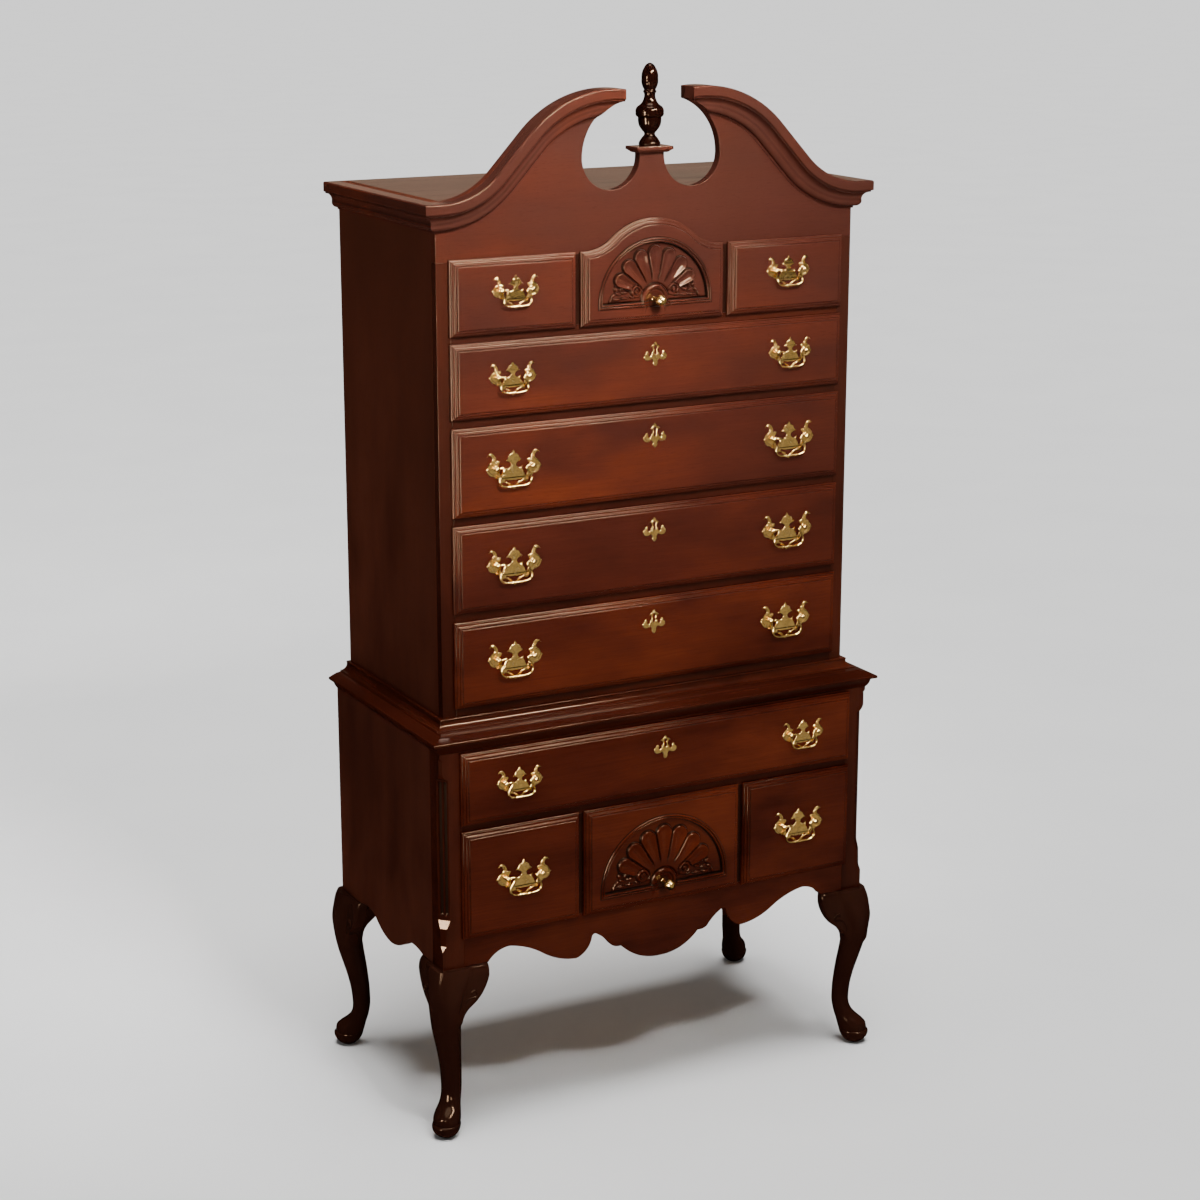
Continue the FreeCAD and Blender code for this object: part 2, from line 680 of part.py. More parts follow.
def both_sides(x0, x1):
    """The two mirrored X ranges of a piece that stands at each side."""
    return ((-x1, -x0), (x0, x1))


def make_upper_case():
    inside_front = upper_face + S.frame_thickness
    over = S.lip_overlap
    frame_y = (upper_face, inside_front)
    for name, x in zip(("upper_side_left", "upper_side_right"), both_sides(upper_inside, upper_half)):
        node(name, [block(x, (inside_front, back), (lower_top, crown_top))])
    deep = (inside_front, panel_front)
    head = row_top[1] - over
    parts = [block((-upper_inside, upper_inside), deep, (lower_top, lower_top + S.board_thickness)),
             block((-upper_inside, upper_inside), (inside_front, back),
                   (crown_top - S.board_thickness, crown_top)),
             block((-upper_opening, upper_opening), frame_y, (lower_top, row_bottom[5] + over))]
    for x in both_sides(upper_opening, upper_half):
        parts.append(block(x, frame_y, (lower_top, head)))
    for row in (1, 2, 3, 4):
        rail_z = (row_top[row + 1] - over, row_bottom[row] + over)
        parts.append(block((-upper_opening, upper_opening), frame_y, rail_z))
    for row in (1, 2, 3, 4, 5):
        run_z = row_bottom[row] + over
        for x in both_sides(upper_opening - S.runner_width / 2, upper_inside):
            parts.append(block(x, deep, (run_z - S.board_thickness, run_z)))
        for x in both_sides(upper_opening, upper_inside):
            parts.append(block(x, deep, (run_z, run_z + S.board_thickness)))
    mullion = (S.upper_centre_half - over, S.upper_centre_half + S.centre_gap + over)
    run_z = row_bottom[1] + over
    wide = S.runner_width / 3
    for x, shelf in zip(both_sides(*mullion), both_sides(mullion[0] - wide, mullion[1] + wide)):
        parts.append(block(x, frame_y, (run_z, head)))
        parts.append(block(x, deep, (run_z, run_z + S.board_thickness)))
        parts.append(block(shelf, deep, (run_z - S.board_thickness, run_z)))
    node("upper_case_frame", parts)


def make_back_panels():
    panel_y = (panel_front, back - S.back_inset)
    node("back_panels", [
        block((-upper_inside, upper_inside), panel_y, (lower_top, crown_top - S.board_thickness)),
        block((-lower_inside, lower_inside), panel_y, (S.leg_height, lower_top - S.board_thickness))])


# ---------------------------------------------------------------- pediment

def scroll_points():
    """Joints of the scroll: middle and end of the hollow, start of the crest, crest."""
    turn = math.radians(CREST_TURN)
    half, top = float(upper_half), float(crown_top)
    hollow, crest = CORNER_SHARE * half, CREST_SHARE * half
    run = (float(S.crest_rise) - (hollow + crest) * (1 - math.cos(turn))) / math.sin(turn)
    hollow_end = (half - hollow * math.sin(turn), top + hollow * (1 - math.cos(turn)))
    hollow_mid = (half - hollow * math.sin(turn / 2), top + hollow * (1 - math.cos(turn / 2)))
    crest_start = (hollow_end[0] - run * math.cos(turn), hollow_end[1] + run * math.sin(turn))
    crest_x = crest_start[0] - crest * math.sin(turn)
    return hollow_mid, hollow_end, crest_start, (crest_x, top + float(S.crest_rise))


def on_crest(crest, angle):
    """A point of the crest's round, an angle out from its top."""
    radius = CREST_SHARE * float(upper_half)
    return (crest[0] + radius * math.sin(angle), crest[1] - radius + radius * math.cos(angle))


def scroll_opening():
    """Cutter for the round eye beside the plinth and the sweep under the scroll's end."""
    eye = float(S.eye_radius)
    inner = float(S.neck_half)
    eye_z = float(crown_top + S.eye_rise)
    outer = inner + 2 * eye
    end_x = float(S.scroll_end)
    end_z = float(crown_top + S.crest_rise - S.scroll_end_height)
    across, up = outer - end_x, end_z - eye_z
    sweep = (across ** 2 + up ** 2) / (2 * across)
    half_turn = math.asin(up / sweep) / 2
    middle = (outer - sweep + sweep * math.cos(half_turn), eye_z + sweep * math.sin(half_turn))
    clear = end_z + float(S.crest_rise)
    steps = [((inner + eye, eye_z - eye), (outer, eye_z)), (middle, (end_x, end_z)),
             ((end_x, clear),), ((inner, clear),), ((inner, eye_z),)]
    start_y = upper_face - S.crown_out - 5
    face = Part.Face(arcs_wire((inner, eye_z), steps, on_front(start_y)))
    return pushed(face, S.crown_out + S.frame_thickness + 10, (0, 1, 0))


def crown_profile(place):
    """Fascia, quirk, cove and ogee of the crown: (out, down) from the top inner edge."""
    out, down = float(S.crown_out), float(S.crown_height)
    steps = [((0.91 * out, 0),), ((0.98 * out, 0.015 * down), (out, 0.055 * down)),
             ((out, 0.33 * down),), ((0.98 * out, 0.355 * down), (0.93 * out, 0.36 * down)),
             ((0.88 * out, 0.36 * down),), ((0.88 * out, 0.41 * down),),
             ((0.58 * out, 0.49 * down), (0.46 * out, 0.66 * down)), ((0.46 * out, 0.70 * down),),
             ((0.40 * out, 0.86 * down), (0.16 * out, 0.93 * down)), ((0.09 * out, 0.93 * down),),
             ((0.09 * out, down),), ((0, down),), ((0, 0),)]
    return arcs_wire((0, 0), steps, place)


def mitre_wedge(away, toward):
    """Cutter along the 45 degree plane through the crown's front corner."""
    x, y, z = float(upper_half), float(upper_face), float(crown_top - S.crown_height) - 5
    wide = float(S.crown_out) + 12
    points = [(x, y, z), (x + wide, y - wide, z), (x + away[0] * wide, y + away[1] * wide, z),
              (x + toward[0] * wide, y + toward[1] * wide, z), (x, y, z)]
    return pushed(Part.Face(lines(points)), S.crown_height + 10, (0, 0, 1))


def gooseneck():
    """The front moulding of one side, up the scroll to its cut end."""
    hollow_mid, hollow_end, crest_start, crest = scroll_points()
    top = float(crown_top)
    place = on_front(upper_face)
    begin = (float(upper_half + S.crown_out) + 4, top)
    radius = CREST_SHARE * float(upper_half)
    past = math.asin((crest[0] - float(S.scroll_end) + 12) / radius)
    middle = on_crest(crest, math.radians(CREST_TURN / 2))
    steps = [((float(upper_half), top),), (hollow_mid, hollow_end), (crest_start,),
             (middle, crest), (on_crest(crest, -past / 2), on_crest(crest, -past))]
    path = arcs_wire(begin, steps, place)

    def profile_place(p):
        return VECTOR(begin[0], float(upper_face) - p[0], top - p[1])

    return cut(swept(crown_profile(profile_place), path),
               [mitre_wedge((1, 0.4), (0, 0.4)), scroll_opening()])


def crown_return():
    """The side moulding, mitred to the gooseneck."""
    half, top, rear = float(upper_half), float(crown_top), float(back)

    def profile_place(p):
        return VECTOR(half + p[0], rear, top - p[1])

    run = pushed(Part.Face(crown_profile(profile_place)), upper_depth + S.crown_out, FRONT)
    return cut(run, [mitre_wedge((0, -1.2), (-0.2, -0.2))])


def plinth_cap():
    """The moulded cap on the pediment's middle plinth."""
    low = crown_top + S.eye_rise + S.neck_rise
    half_x, half_y = float(S.plinth_width) / 2, float(S.plinth_depth) / 2
    middle_y = float(upper_face + S.frame_thickness / 2)
    foot = 0.45 * float(S.plinth_height)

    def level(inset, rise):
        x, y, z = half_x - inset, half_y - inset, float(low) + rise
        return drawn(lines([(-x, middle_y - y, z), (x, middle_y - y, z), (x, middle_y + y, z),
                            (-x, middle_y + y, z), (-x, middle_y - y, z)]))

    cap = doc.addObject("Part::Loft", "Cap")
    cap.Sections = [level(9, 0), level(7, 0.12 * foot), level(3, 0.7 * foot), level(1.5, foot)]
    cap.Solid = True
    cap.Ruled = True
    slab = block((-S.plinth_width / 2, S.plinth_width / 2),
                 (middle_y - half_y, middle_y + half_y), (low + foot, low + S.plinth_height))
    return fused([cap, slab])


def make_pediment():
    hollow_mid, hollow_end, crest_start, crest = scroll_points()
    crest_mid = on_crest(crest, math.radians(CREST_TURN / 2))
    half, top = float(upper_half), float(crown_top)
    low = float(row_top[1] - S.lip_overlap)

    def flip(p):
        return (-p[0], p[1])

    steps = [((half, low),), ((half, top),), (hollow_mid, hollow_end), (crest_start,),
             (crest_mid, crest), (flip(crest),), (flip(crest_mid), flip(crest_start)),
             (flip(hollow_end),), (flip(hollow_mid), (-half, top)), ((-half, low),), ((0, low),)]
    outline = arcs_wire((0, low), steps, on_front(upper_face))
    board = pushed(Part.Face(outline), S.frame_thickness, (0, 1, 0))
    arch = arched(S.upper_centre_half, row_bottom[1], row_top[1], float(S.lip_overlap),
                  upper_face - 1)
    clear_y = (upper_face - 5, upper_face + S.frame_thickness + 5)
    plinth_top = crown_top + S.eye_rise + S.neck_rise
    above = block((-S.neck_half - 1, S.neck_half + 1), clear_y, (plinth_top, crown_top + S.crest_rise * 2))
    eye = scroll_opening()
    node("pediment_board", [cut(board, [eye, mirrored(eye), above,
                                        pushed(Part.Face(arch), S.frame_thickness + 2, (0, 1, 0))])])
    neck, side = gooseneck(), crown_return()
    node("crown_mouldings", [neck, side, mirrored(neck), mirrored(side), plinth_cap()])


def make_finial():
    """The turned flame-and-urn finial."""
    high = float(S.finial_height)
    wide = float(S.finial_radius)
    steps = [((0.73, 0),), ((0.73, 0.02),), ((0.56, 0.08), (0.45, 0.155)),
             ((0.52, 0.175), (0.45, 0.195)), ((0.74, 0.27), (0.86, 0.385)), ((0.86, 0.40),),
             ((1.0, 0.43), (0.93, 0.465)), ((0.60, 0.51), (0.46, 0.575)), ((0.42, 0.64),),
             ((0.50, 0.665), (0.42, 0.69)), ((0.38, 0.705),), ((0.51, 0.80), (0.33, 0.90)),
             ((0.22, 0.95), (0.06, 0.995)), ((0, 1),), ((0, 0),)]
    scaled = [tuple((r * wide, z * high) for r, z in step) for step in steps]
    outline = arcs_wire((0, 0), scaled, lambda p: VECTOR(p[0], 0, p[1]))
    edges = [edge if edge.Curve.TypeId == "Part::GeomLine" else edge.toNurbs().Edges[0]
             for edge in outline.Edges]
    profile = Part.Face(Part.Wire(edges))
    base_z = crown_top + S.eye_rise + S.neck_rise + S.plinth_height
    node("finial", [turned(profile, (0, upper_face + S.frame_thickness / 2, base_z))])


# ---------------------------------------------------------------- lower case

def side_outline():
    """Side board: straight knee seats at its ends and one lobe between them."""
    rear, post = float(back), float(lower_face + S.corner_post)
    seat = float(S.wing_reach)
    front = float(lower_face)
    middle = (front + rear) / 2
    reach = middle - front - seat
    low, top = float(S.leg_height), float(lower_top - S.board_thickness)
    dip = float(S.side_lobe_depth) + 2
    half = [(0.12, 4), (0.26, 5.5), (0.38, 3.5), (0.52, -0.17 * dip), (0.74, -0.75 * dip), (1, -dip)]

    def near(p):
        return (front + seat + p[0] * reach, low + p[1])

    def far(p):
        return (rear - seat - p[0] * reach, low + p[1])

    steps = [((front + seat, low),), (near(half[0]), near(half[1])), (near(half[2]), near(half[3])),
             (near(half[4]), near(half[5])), (far(half[4]), far(half[3])),
             (far(half[2]), far(half[1])), (far(half[0]), (rear - seat, low)), ((rear, low),),
             ((rear, top),), ((post, top),), ((post, low),)]
    inner = float(lower_inside)
    return arcs_wire((post, low), steps, lambda p: VECTOR(inner, p[0], p[1]))


def corner_post():
    """Front corner post: a chamfer with two flutes between stopped ends."""
    x0, y0 = float(lower_half), float(lower_face)
    leg = float(S.chamfer)
    low = S.leg_height + S.chamfer_start
    high = lower_top - S.board_thickness - S.chamfer_stop
    post = block((lower_half - S.corner_post, lower_half), (lower_face, lower_face + S.corner_post),
                 (S.leg_height, lower_top - S.board_thickness))
    extra = 1
    corner = [(x0 - leg, y0 - extra, float(low)), (x0 + extra, y0 - extra, float(low)),
              (x0 + extra, y0 + leg, float(low)), (x0 - leg, y0 - extra, float(low))]
    tools = [pushed(Part.Face(lines(corner)), high - low, (0, 0, 1))]
    for side in (-1, 1):
        shift = side * leg / 4.6
        centre = (x0 - leg / 2 + shift, y0 + leg / 2 + shift, low + S.flute_stop * 1.2)
        tools.append(rod(S.flute_radius, high - low - S.flute_stop * 2.2, centre, (0, 0, 1)))
    return cut(post, tools)


def make_lower_case():
    inside_front = lower_face + S.frame_thickness
    post_back = lower_face + S.corner_post
    over = S.lip_overlap
    frame_y = (lower_face, inside_front)
    deep = (inside_front, panel_front)
    under_top = lower_top - S.board_thickness
    right = pushed(Part.Face(side_outline()), S.side_thickness, (1, 0, 0))
    node("lower_side_right", [right])
    node("lower_side_left", [mirrored(right)])
    post = corner_post()
    parts = [post, mirrored(post),
             block((-lower_half, lower_half), (lower_face, back), (under_top, lower_top)),
             block((-lower_opening, lower_opening), frame_y, (wide_top - over, under_top)),
             block((-lower_opening, lower_opening), frame_y, (small_top - over, wide_bottom + over))]
    for run_z in (small_bottom + over, wide_bottom + over):
        for x in both_sides(lower_opening - S.runner_width / 2, lower_opening):
            parts.append(block(x, deep, (run_z - S.board_thickness, run_z)))
        for x in both_sides(lower_opening, lower_inside):
            parts.append(block(x, (post_back, panel_front),
                               (run_z - S.board_thickness, run_z + S.board_thickness)))
    mullion = (S.lower_centre_half - over, S.lower_centre_half + S.centre_gap + over)
    run_z = small_bottom + over
    wide = S.runner_width / 3
    for x, shelf in zip(both_sides(*mullion), both_sides(mullion[0] - wide, mullion[1] + wide)):
        parts.append(block(x, frame_y, (run_z, small_top - over)))
        parts.append(block(x, deep, (run_z, run_z + S.board_thickness)))
        parts.append(block(shelf, deep, (run_z - S.board_thickness, run_z)))
    node("lower_case_frame", parts)


def make_apron():
    """The shaped board under the drawers: a lobe each side of a deeper middle drop."""
    half = float(lower_opening)
    low, top = float(S.leg_height), float(small_bottom + S.lip_overlap)
    seat = float(lower_half - S.wing_reach)
    stretch = seat / 389.5
    lobe_low, drop_low = -float(S.lobe_depth), -float(S.drop_depth)
    curve = [(389.5, 0), (377, 17), (342, 25), (308, 16), (265, -7), (230, 0.77 * lobe_low),
             (193, lobe_low), (172, 0.62 * lobe_low), (157, 8), (153, 14), (147, 13.5), (128, 0),
             (112, 0.29 * drop_low), (101, 0.37 * drop_low), (90, 0.37 * drop_low),
             (53, 0.82 * drop_low), (0, drop_low)]
    right = [(x * stretch, low + z) for x, z in curve]
    left = [(-x, z) for x, z in reversed(right)]
    steps = [((half, low),), (right[0],)]
    steps += [(right[k], right[k + 1]) for k in range(1, len(right) - 1, 2)]
    steps += [(left[k], left[k + 1]) for k in range(1, len(left) - 1, 2)]
    steps += [((-half, low),), ((-half, top),), ((0, top),)]
    outline = arcs_wire((0, top), [((half, top),)] + steps, on_front(lower_face))
    node("front_apron", [pushed(Part.Face(outline), S.frame_thickness, (0, 1, 0))])


def make_waist():
    """The moulding between the cases: a wide moulded ledge and a cove round the upper case."""
    tip_x = lower_half + S.waist_overhang
    tip_y = lower_face - S.waist_overhang
    over = float(S.waist_overhang)
    inner = float(tip_x - upper_half)
    bed = float(S.waist_bed)
    ledge = 0.35 * float(S.waist_collar)
    base = float(lower_top)
    x0, y0, rear = float(tip_x), float(tip_y), float(back)

    def edge_place(p):
        return VECTOR(-x0 + p[0], rear, base + p[1])

    steps = [((over, 0),), ((inner, 0),), ((inner, ledge),), ((over + 8, ledge),),
             ((over + 7.5, ledge - 2),), ((over - 1, ledge - 3.2),), ((0.12 * over, 0.2),),
             ((0, -2.5), (0.1 * over, -5.5)), ((0.55 * over, -7),),
             ((0.66 * over, -0.62 * bed), (0.9 * over, -0.92 * bed)), ((over, -bed),)]
    edge = swept(arcs_wire((over, -bed), steps, edge_place),
                 lines([(-x0, rear, base), (-x0, y0, base), (x0, y0, base), (x0, rear, base)]))
    half, front_y = float(upper_half), float(upper_face)
    strip = float(S.cove_strip_width)
    rise = float(S.waist_collar) - ledge
    level = base + ledge

    def cove_place(p):
        return VECTOR(-half - p[0], rear, level + p[1])

    cove_steps = [((strip, 0),), ((strip, 0.08 * rise),),
                  ((0.55 * strip, 0.26 * rise), (0.37 * strip, 0.72 * rise)),
                  ((0.37 * strip, 0.80 * rise),), ((0.41 * strip, 0.90 * rise), (0.33 * strip, rise)),
                  ((0, rise),), ((0, 0),)]
    cove = swept(arcs_wire((0, 0), cove_steps, cove_place),
                 lines([(-half, rear, level), (-half, front_y, level), (half, front_y, level),
                        (half, rear, level)]))
    filler = block((-upper_half, upper_half), (tip_y + inner, upper_face),
                   (lower_top, lower_top + ledge))
    node("waist_moulding", [edge, filler, cove])


# ---------------------------------------------------------------- legs

def leg_section(x, y, z, half, power):
    """A closed section between a circle (power 2) and a soft square."""
    count = 12
    points = []
    for k in range(count):
        angle = 2 * math.pi * (k + 0.5) / count
        c, s = math.cos(angle), math.sin(angle)
        radius = half / (abs(c) ** power + abs(s) ** power) ** (1 / power)
        points.append(VECTOR(x + radius * c, y + radius * s, z))
    curve = Part.BSplineCurve()
    curve.interpolate(points, PeriodicFlag=True)
    return Part.Wire([curve.toShape()])


def leg(side, end, corner_y):
    """A cabriole leg: pad foot, ankle, knee, and a wing under each face of the case."""
    height = float(S.leg_height)
    ankle, pad = float(S.ankle_radius), float(S.pad_radius)
    knee, back_set = float(S.knee_reach), float(S.ankle_set)
    corner = (side * float(lower_half), float(corner_y))
    seat = float(S.wing_reach) * 0.3
    stations = [(0, -0.15 * pad, 0.80 * pad, 2), (0.022, -0.15 * pad, 0.97 * pad, 2),
                (0.08, -PAD_SET * pad, PAD_SPREAD * pad, 2), (0.13, -0.36 * pad, pad, 2),
                (0.165, -0.7 * back_set, 1.35 * ankle, 2), (0.2, -0.87 * back_set, 1.12 * ankle, 2),
                (0.27, -back_set, 1.03 * ankle, 2.2), (0.37, -0.94 * back_set, 1.08 * ankle, 2.3),
                (0.52, knee - 46, 1.27 * ankle, 2.5), (0.68, knee - 32, 1.5 * ankle, 2.6),
                (0.79, knee - 35, 1.68 * ankle, 2.8), (0.86, knee - 37, 1.8 * ankle, 3),
                (0.95, knee - 49, seat + 3, 3.5), (1, knee - 57, seat + 1, 5)]
    sections = []
    for level, outward, half, power in stations:
        shift = outward * math.sqrt(0.5)
        x, y = corner[0] + side * shift, corner[1] + end * shift
        sections.append(drawn(leg_section(x, y, level * height, half, power)))
    loft = doc.addObject("Part::Loft", "Leg")
    loft.Sections = sections
    loft.Solid = True
    return fused([loft, wing(corner, (-side, 0), (0, end)), wing(corner, (0, -end), (side, 0))])


def wing(corner, along, outward):
    """A knee bracket: from the knee along the underside of the case to its round tip."""
    height, reach, deep = float(S.leg_height), float(S.wing_reach), float(S.wing_depth)
    proud, thick = float(S.knee_proud) - 2, float(S.wing_thickness)

    def place(p):
        u, z = p
        return VECTOR(corner[0] + along[0] * u + outward[0] * proud,
                      corner[1] + along[1] * u + outward[1] * proud, height + z)

    steps = [((reach - 1, 0),), ((reach, -0.12 * deep), (reach - 1, -0.27 * deep)),
             ((0.85 * reach, -0.62 * deep), (0.60 * reach, -0.9 * deep)),
             ((0.45 * reach, -1.08 * deep), (0.34 * reach, -1.45 * deep)),
             ((0.25 * reach, -1.45 * deep),), ((0.25 * reach, 0),)]
    face = Part.Face(arcs_wire((0.25 * reach, 0), steps, place))
    return pushed(face, thick, (-outward[0], -outward[1], 0))


def make_legs():
    front_leg = leg(1, -1, lower_face)
    rear_leg = leg(1, 1, back)
    node("cabriole_legs", [mirrored(front_leg), front_leg, mirrored(rear_leg), rear_leg])


# ---------------------------------------------------------------- build, check, write

def export_nodes():
    """Checks every object, then writes one STEP file for each named piece."""
    doc.recompute()
    for thing in doc.Objects:
        if "Invalid" in thing.State or "Error" in thing.State:
            raise RuntimeError("failed: %s of %s" % (thing.Name, thing.Label))
    os.makedirs("parts", exist_ok=True)
    for name, piece in NODES.items():
        shape = piece.Shape
        if shape.isNull() or not shape.isValid() or not shape.Solids:
            raise RuntimeError("bad shape: " + name)
        shape.exportStep("parts/" + name + ".step")
        print("%-28s %2d solids %12.0f mm3" % (name, len(shape.Solids), shape.Volume))


make_upper_case()
make_back_panels()
make_pediment()
make_finial()
make_lower_case()
make_apron()
make_waist()
make_legs()
make_drawers()
export_nodes()
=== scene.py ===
import math

import bpy
import numpy as np
from mathutils.geometry import tessellate_polygon
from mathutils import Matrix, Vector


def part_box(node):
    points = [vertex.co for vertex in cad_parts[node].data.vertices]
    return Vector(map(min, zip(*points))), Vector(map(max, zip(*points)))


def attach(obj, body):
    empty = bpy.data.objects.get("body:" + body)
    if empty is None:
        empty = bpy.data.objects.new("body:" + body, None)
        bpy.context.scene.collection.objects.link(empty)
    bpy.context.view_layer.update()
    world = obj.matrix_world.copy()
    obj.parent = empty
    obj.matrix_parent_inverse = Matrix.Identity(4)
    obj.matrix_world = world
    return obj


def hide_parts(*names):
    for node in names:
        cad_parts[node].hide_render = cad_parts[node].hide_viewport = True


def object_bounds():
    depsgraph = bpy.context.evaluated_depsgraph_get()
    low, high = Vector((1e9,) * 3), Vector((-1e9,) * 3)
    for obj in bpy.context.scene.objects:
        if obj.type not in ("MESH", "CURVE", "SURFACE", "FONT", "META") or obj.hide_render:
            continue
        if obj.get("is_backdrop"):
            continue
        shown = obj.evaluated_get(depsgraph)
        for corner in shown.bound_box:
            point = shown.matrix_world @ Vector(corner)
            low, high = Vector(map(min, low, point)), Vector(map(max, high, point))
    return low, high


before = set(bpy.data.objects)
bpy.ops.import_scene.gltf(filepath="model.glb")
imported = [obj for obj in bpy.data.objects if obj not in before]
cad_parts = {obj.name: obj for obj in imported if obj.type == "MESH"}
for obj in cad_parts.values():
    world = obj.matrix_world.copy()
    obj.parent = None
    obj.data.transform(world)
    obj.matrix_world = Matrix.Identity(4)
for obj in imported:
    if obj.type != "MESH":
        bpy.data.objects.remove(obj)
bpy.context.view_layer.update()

# ---- The two cases' boards -------------------------------------------------------------
# Upper case: cherry side boards, stiles and rails glued up round the drawer openings, with
# runners and guides behind them.  Lower case: rails and runners between its corner posts.
# Every board has eased edges and grain along its length.  All shapes are in millimetres.

chance = np.random.default_rng(11)


class Tone:
    """A socket of a finish; sums and products of tones add Math nodes to it."""

    def __init__(self, tree, socket=None):
        self.tree, self.socket = tree, socket

    def node(self, kind, settings=None, values=None, output=0):
        """A node of a kind: its settings, then a value or a tone for each of its sockets."""
        made = self.tree.nodes.new("ShaderNode" + kind)
        for name, setting in (settings or {}).items():
            setattr(made, name, setting)
        for name, value in (values or {}).items():
            if isinstance(value, Tone):
                self.tree.links.new(value.socket, made.inputs[name])
            else:
                made.inputs[name].default_value = value
        return Tone(self.tree, made.outputs[output])

    def maths(self, operation, first, second):
        """One sum, difference or product of two tones or numbers."""
        return self.node("Math", {"operation": operation}, {0: first, 1: second})

    def __add__(self, other):
        return self.maths("ADD", self, other)

    def __radd__(self, other):
        return self.maths("ADD", other, self)

    def __sub__(self, other):
        return self.maths("SUBTRACT", self, other)

    def __rsub__(self, other):
        return self.maths("SUBTRACT", other, self)

    def __mul__(self, other):
        return self.maths("MULTIPLY", self, other)

    def __rmul__(self, other):
        return self.maths("MULTIPLY", other, self)

    def held(self, low, high):
        """The tone from low to high stretched to 0..1 and stopped there."""
        return self.node("MapRange", None, {0: self, 1: low, 2: high})

    def told(self, name, output="Fac"):
        """What the mesh says at each point under a name."""
        return self.node("Attribute", {"attribute_name": name}, None, output)

    def place(self):
        """The place on the piece as it is built, in metres."""
        return self.node("TexCoord", None, None, "Object")

    def noise(self, place, stretch, detail=2.0, roughness=0.5):
        """Smooth noise on a place stretched along each axis."""
        where = self.node("VectorMath", {"operation": "MULTIPLY"}, {0: place, 1: stretch})
        return self.node("TexNoise", None, {"Vector": where, "Scale": 1.0, "Detail": detail,
                                            "Roughness": roughness})

    def bent(self, place, stretch, by):
        """A place moved across the grain by slow noise, as grain wanders in a board."""
        bend = self.noise(place, stretch, 1.0)
        return self.node("VectorMath", {"operation": "MULTIPLY_ADD"},
                         {0: bend, 1: (0.0, by, by), 2: place})

    def blend(self, first, second, share):
        """One colour turning into another by a share."""
        colours = [tint if isinstance(tint, Tone) else (*tint, 1) for tint in (first, second)]
        return self.node("Mix", {"data_type": "RGBA"},
                         {0: share, 6: colours[0], 7: colours[1]}, 2)


def new_finish(name):
    """An empty material, its shader and a tone to start its sums from."""
    material = bpy.data.materials.new(name)
    material.use_nodes = True
    tree = material.node_tree
    return material, tree.nodes["Principled BSDF"], Tone(tree)


def join(shader, colour, rough, relief, strength, distance):
    """The three varying inputs of a shader; the relief goes in as a bump."""
    bump = relief.node("Bump", None, {"Height": relief, "Strength": strength,
                                      "Distance": distance}, "Normal")
    for tone, name in ((colour, "Base Color"), (rough, "Roughness"), (bump, "Normal")):
        tone.tree.links.new(tone.socket, shader.inputs[name])


def cherry_finish(name, deep, middle, light, painted_top_tint, gloss, shine):
    """Stained cherry under satin lacquer, on the 'grain' place of each board: broad figure
    and fine streaks run along the first axis; 'shade' darkens the colour as painted shade in
    grooves and gaps, and above 0.9 m the colour is blended toward a top tint, lighter and
    browner on the case, sides and fronts: painted light and painted sheen on the upper chest."""
    material, shader, mix = new_finish(name)
    grain, shade = mix.told("grain", "Vector"), mix.told("shade")
    shifted = mix.bent(grain, (3.0, 9.0, 9.0), 0.03)
    figure = mix.noise(shifted, (1.6, 26.0, 26.0), 3.0, 0.55).held(0.3, 0.7)
    cloud = mix.noise(grain, (3.4, 8.5, 8.5), 3.0, 0.55).held(0.34, 0.66)
    patch = mix.noise(grain, (1.3, 2.6, 2.6), 1.0).held(0.36, 0.64)
    streak = mix.noise(shifted, (7.0, 330.0, 330.0), 3.0, 0.6).held(0.32, 0.68)
    pore = mix.noise(shifted, (45.0, 1500.0, 1500.0), 1.0).held(0.62, 0.75)
    colour = mix.blend(deep, middle, figure * 0.4 + cloud * 0.6)
    colour = mix.blend(colour, light, streak * (0.06 + 0.2 * cloud) + cloud * patch * 0.62)
    # Painted light and painted sheen: the colour turns toward the top tint from 0.9 m to 2 m up.
    height = mix.node("SeparateXYZ", None, {0: mix.place()}, "Z")
    painted_light_share = height.held(0.9, 2.0) * (0.84 - 0.5 * cloud * patch)
    colour = mix.blend(colour, painted_top_tint, painted_light_share)
    colour = mix.blend(colour, (deep[0] * 0.35, deep[1] * 0.3, deep[2] * 0.3), pore * 0.35)
    # Painted shade: 'shade' pulls the colour to near black in grooves, quirks and gaps.
    colour = mix.blend(colour, (0.004, 0.0018, 0.001), (shade * 0.95).held(0.0, 1.0))
    join(shader, colour, gloss + 0.05 * figure + 0.04 * streak + 0.2 * shade,
         streak * 0.35 + figure * 0.3 - pore * 0.5, 0.05, 0.0006)
    shader.inputs["Specular IOR Level"].default_value = shine
    shader.inputs["Specular Tint"].default_value = (1.0, 0.62, 0.36, 1)
    return material


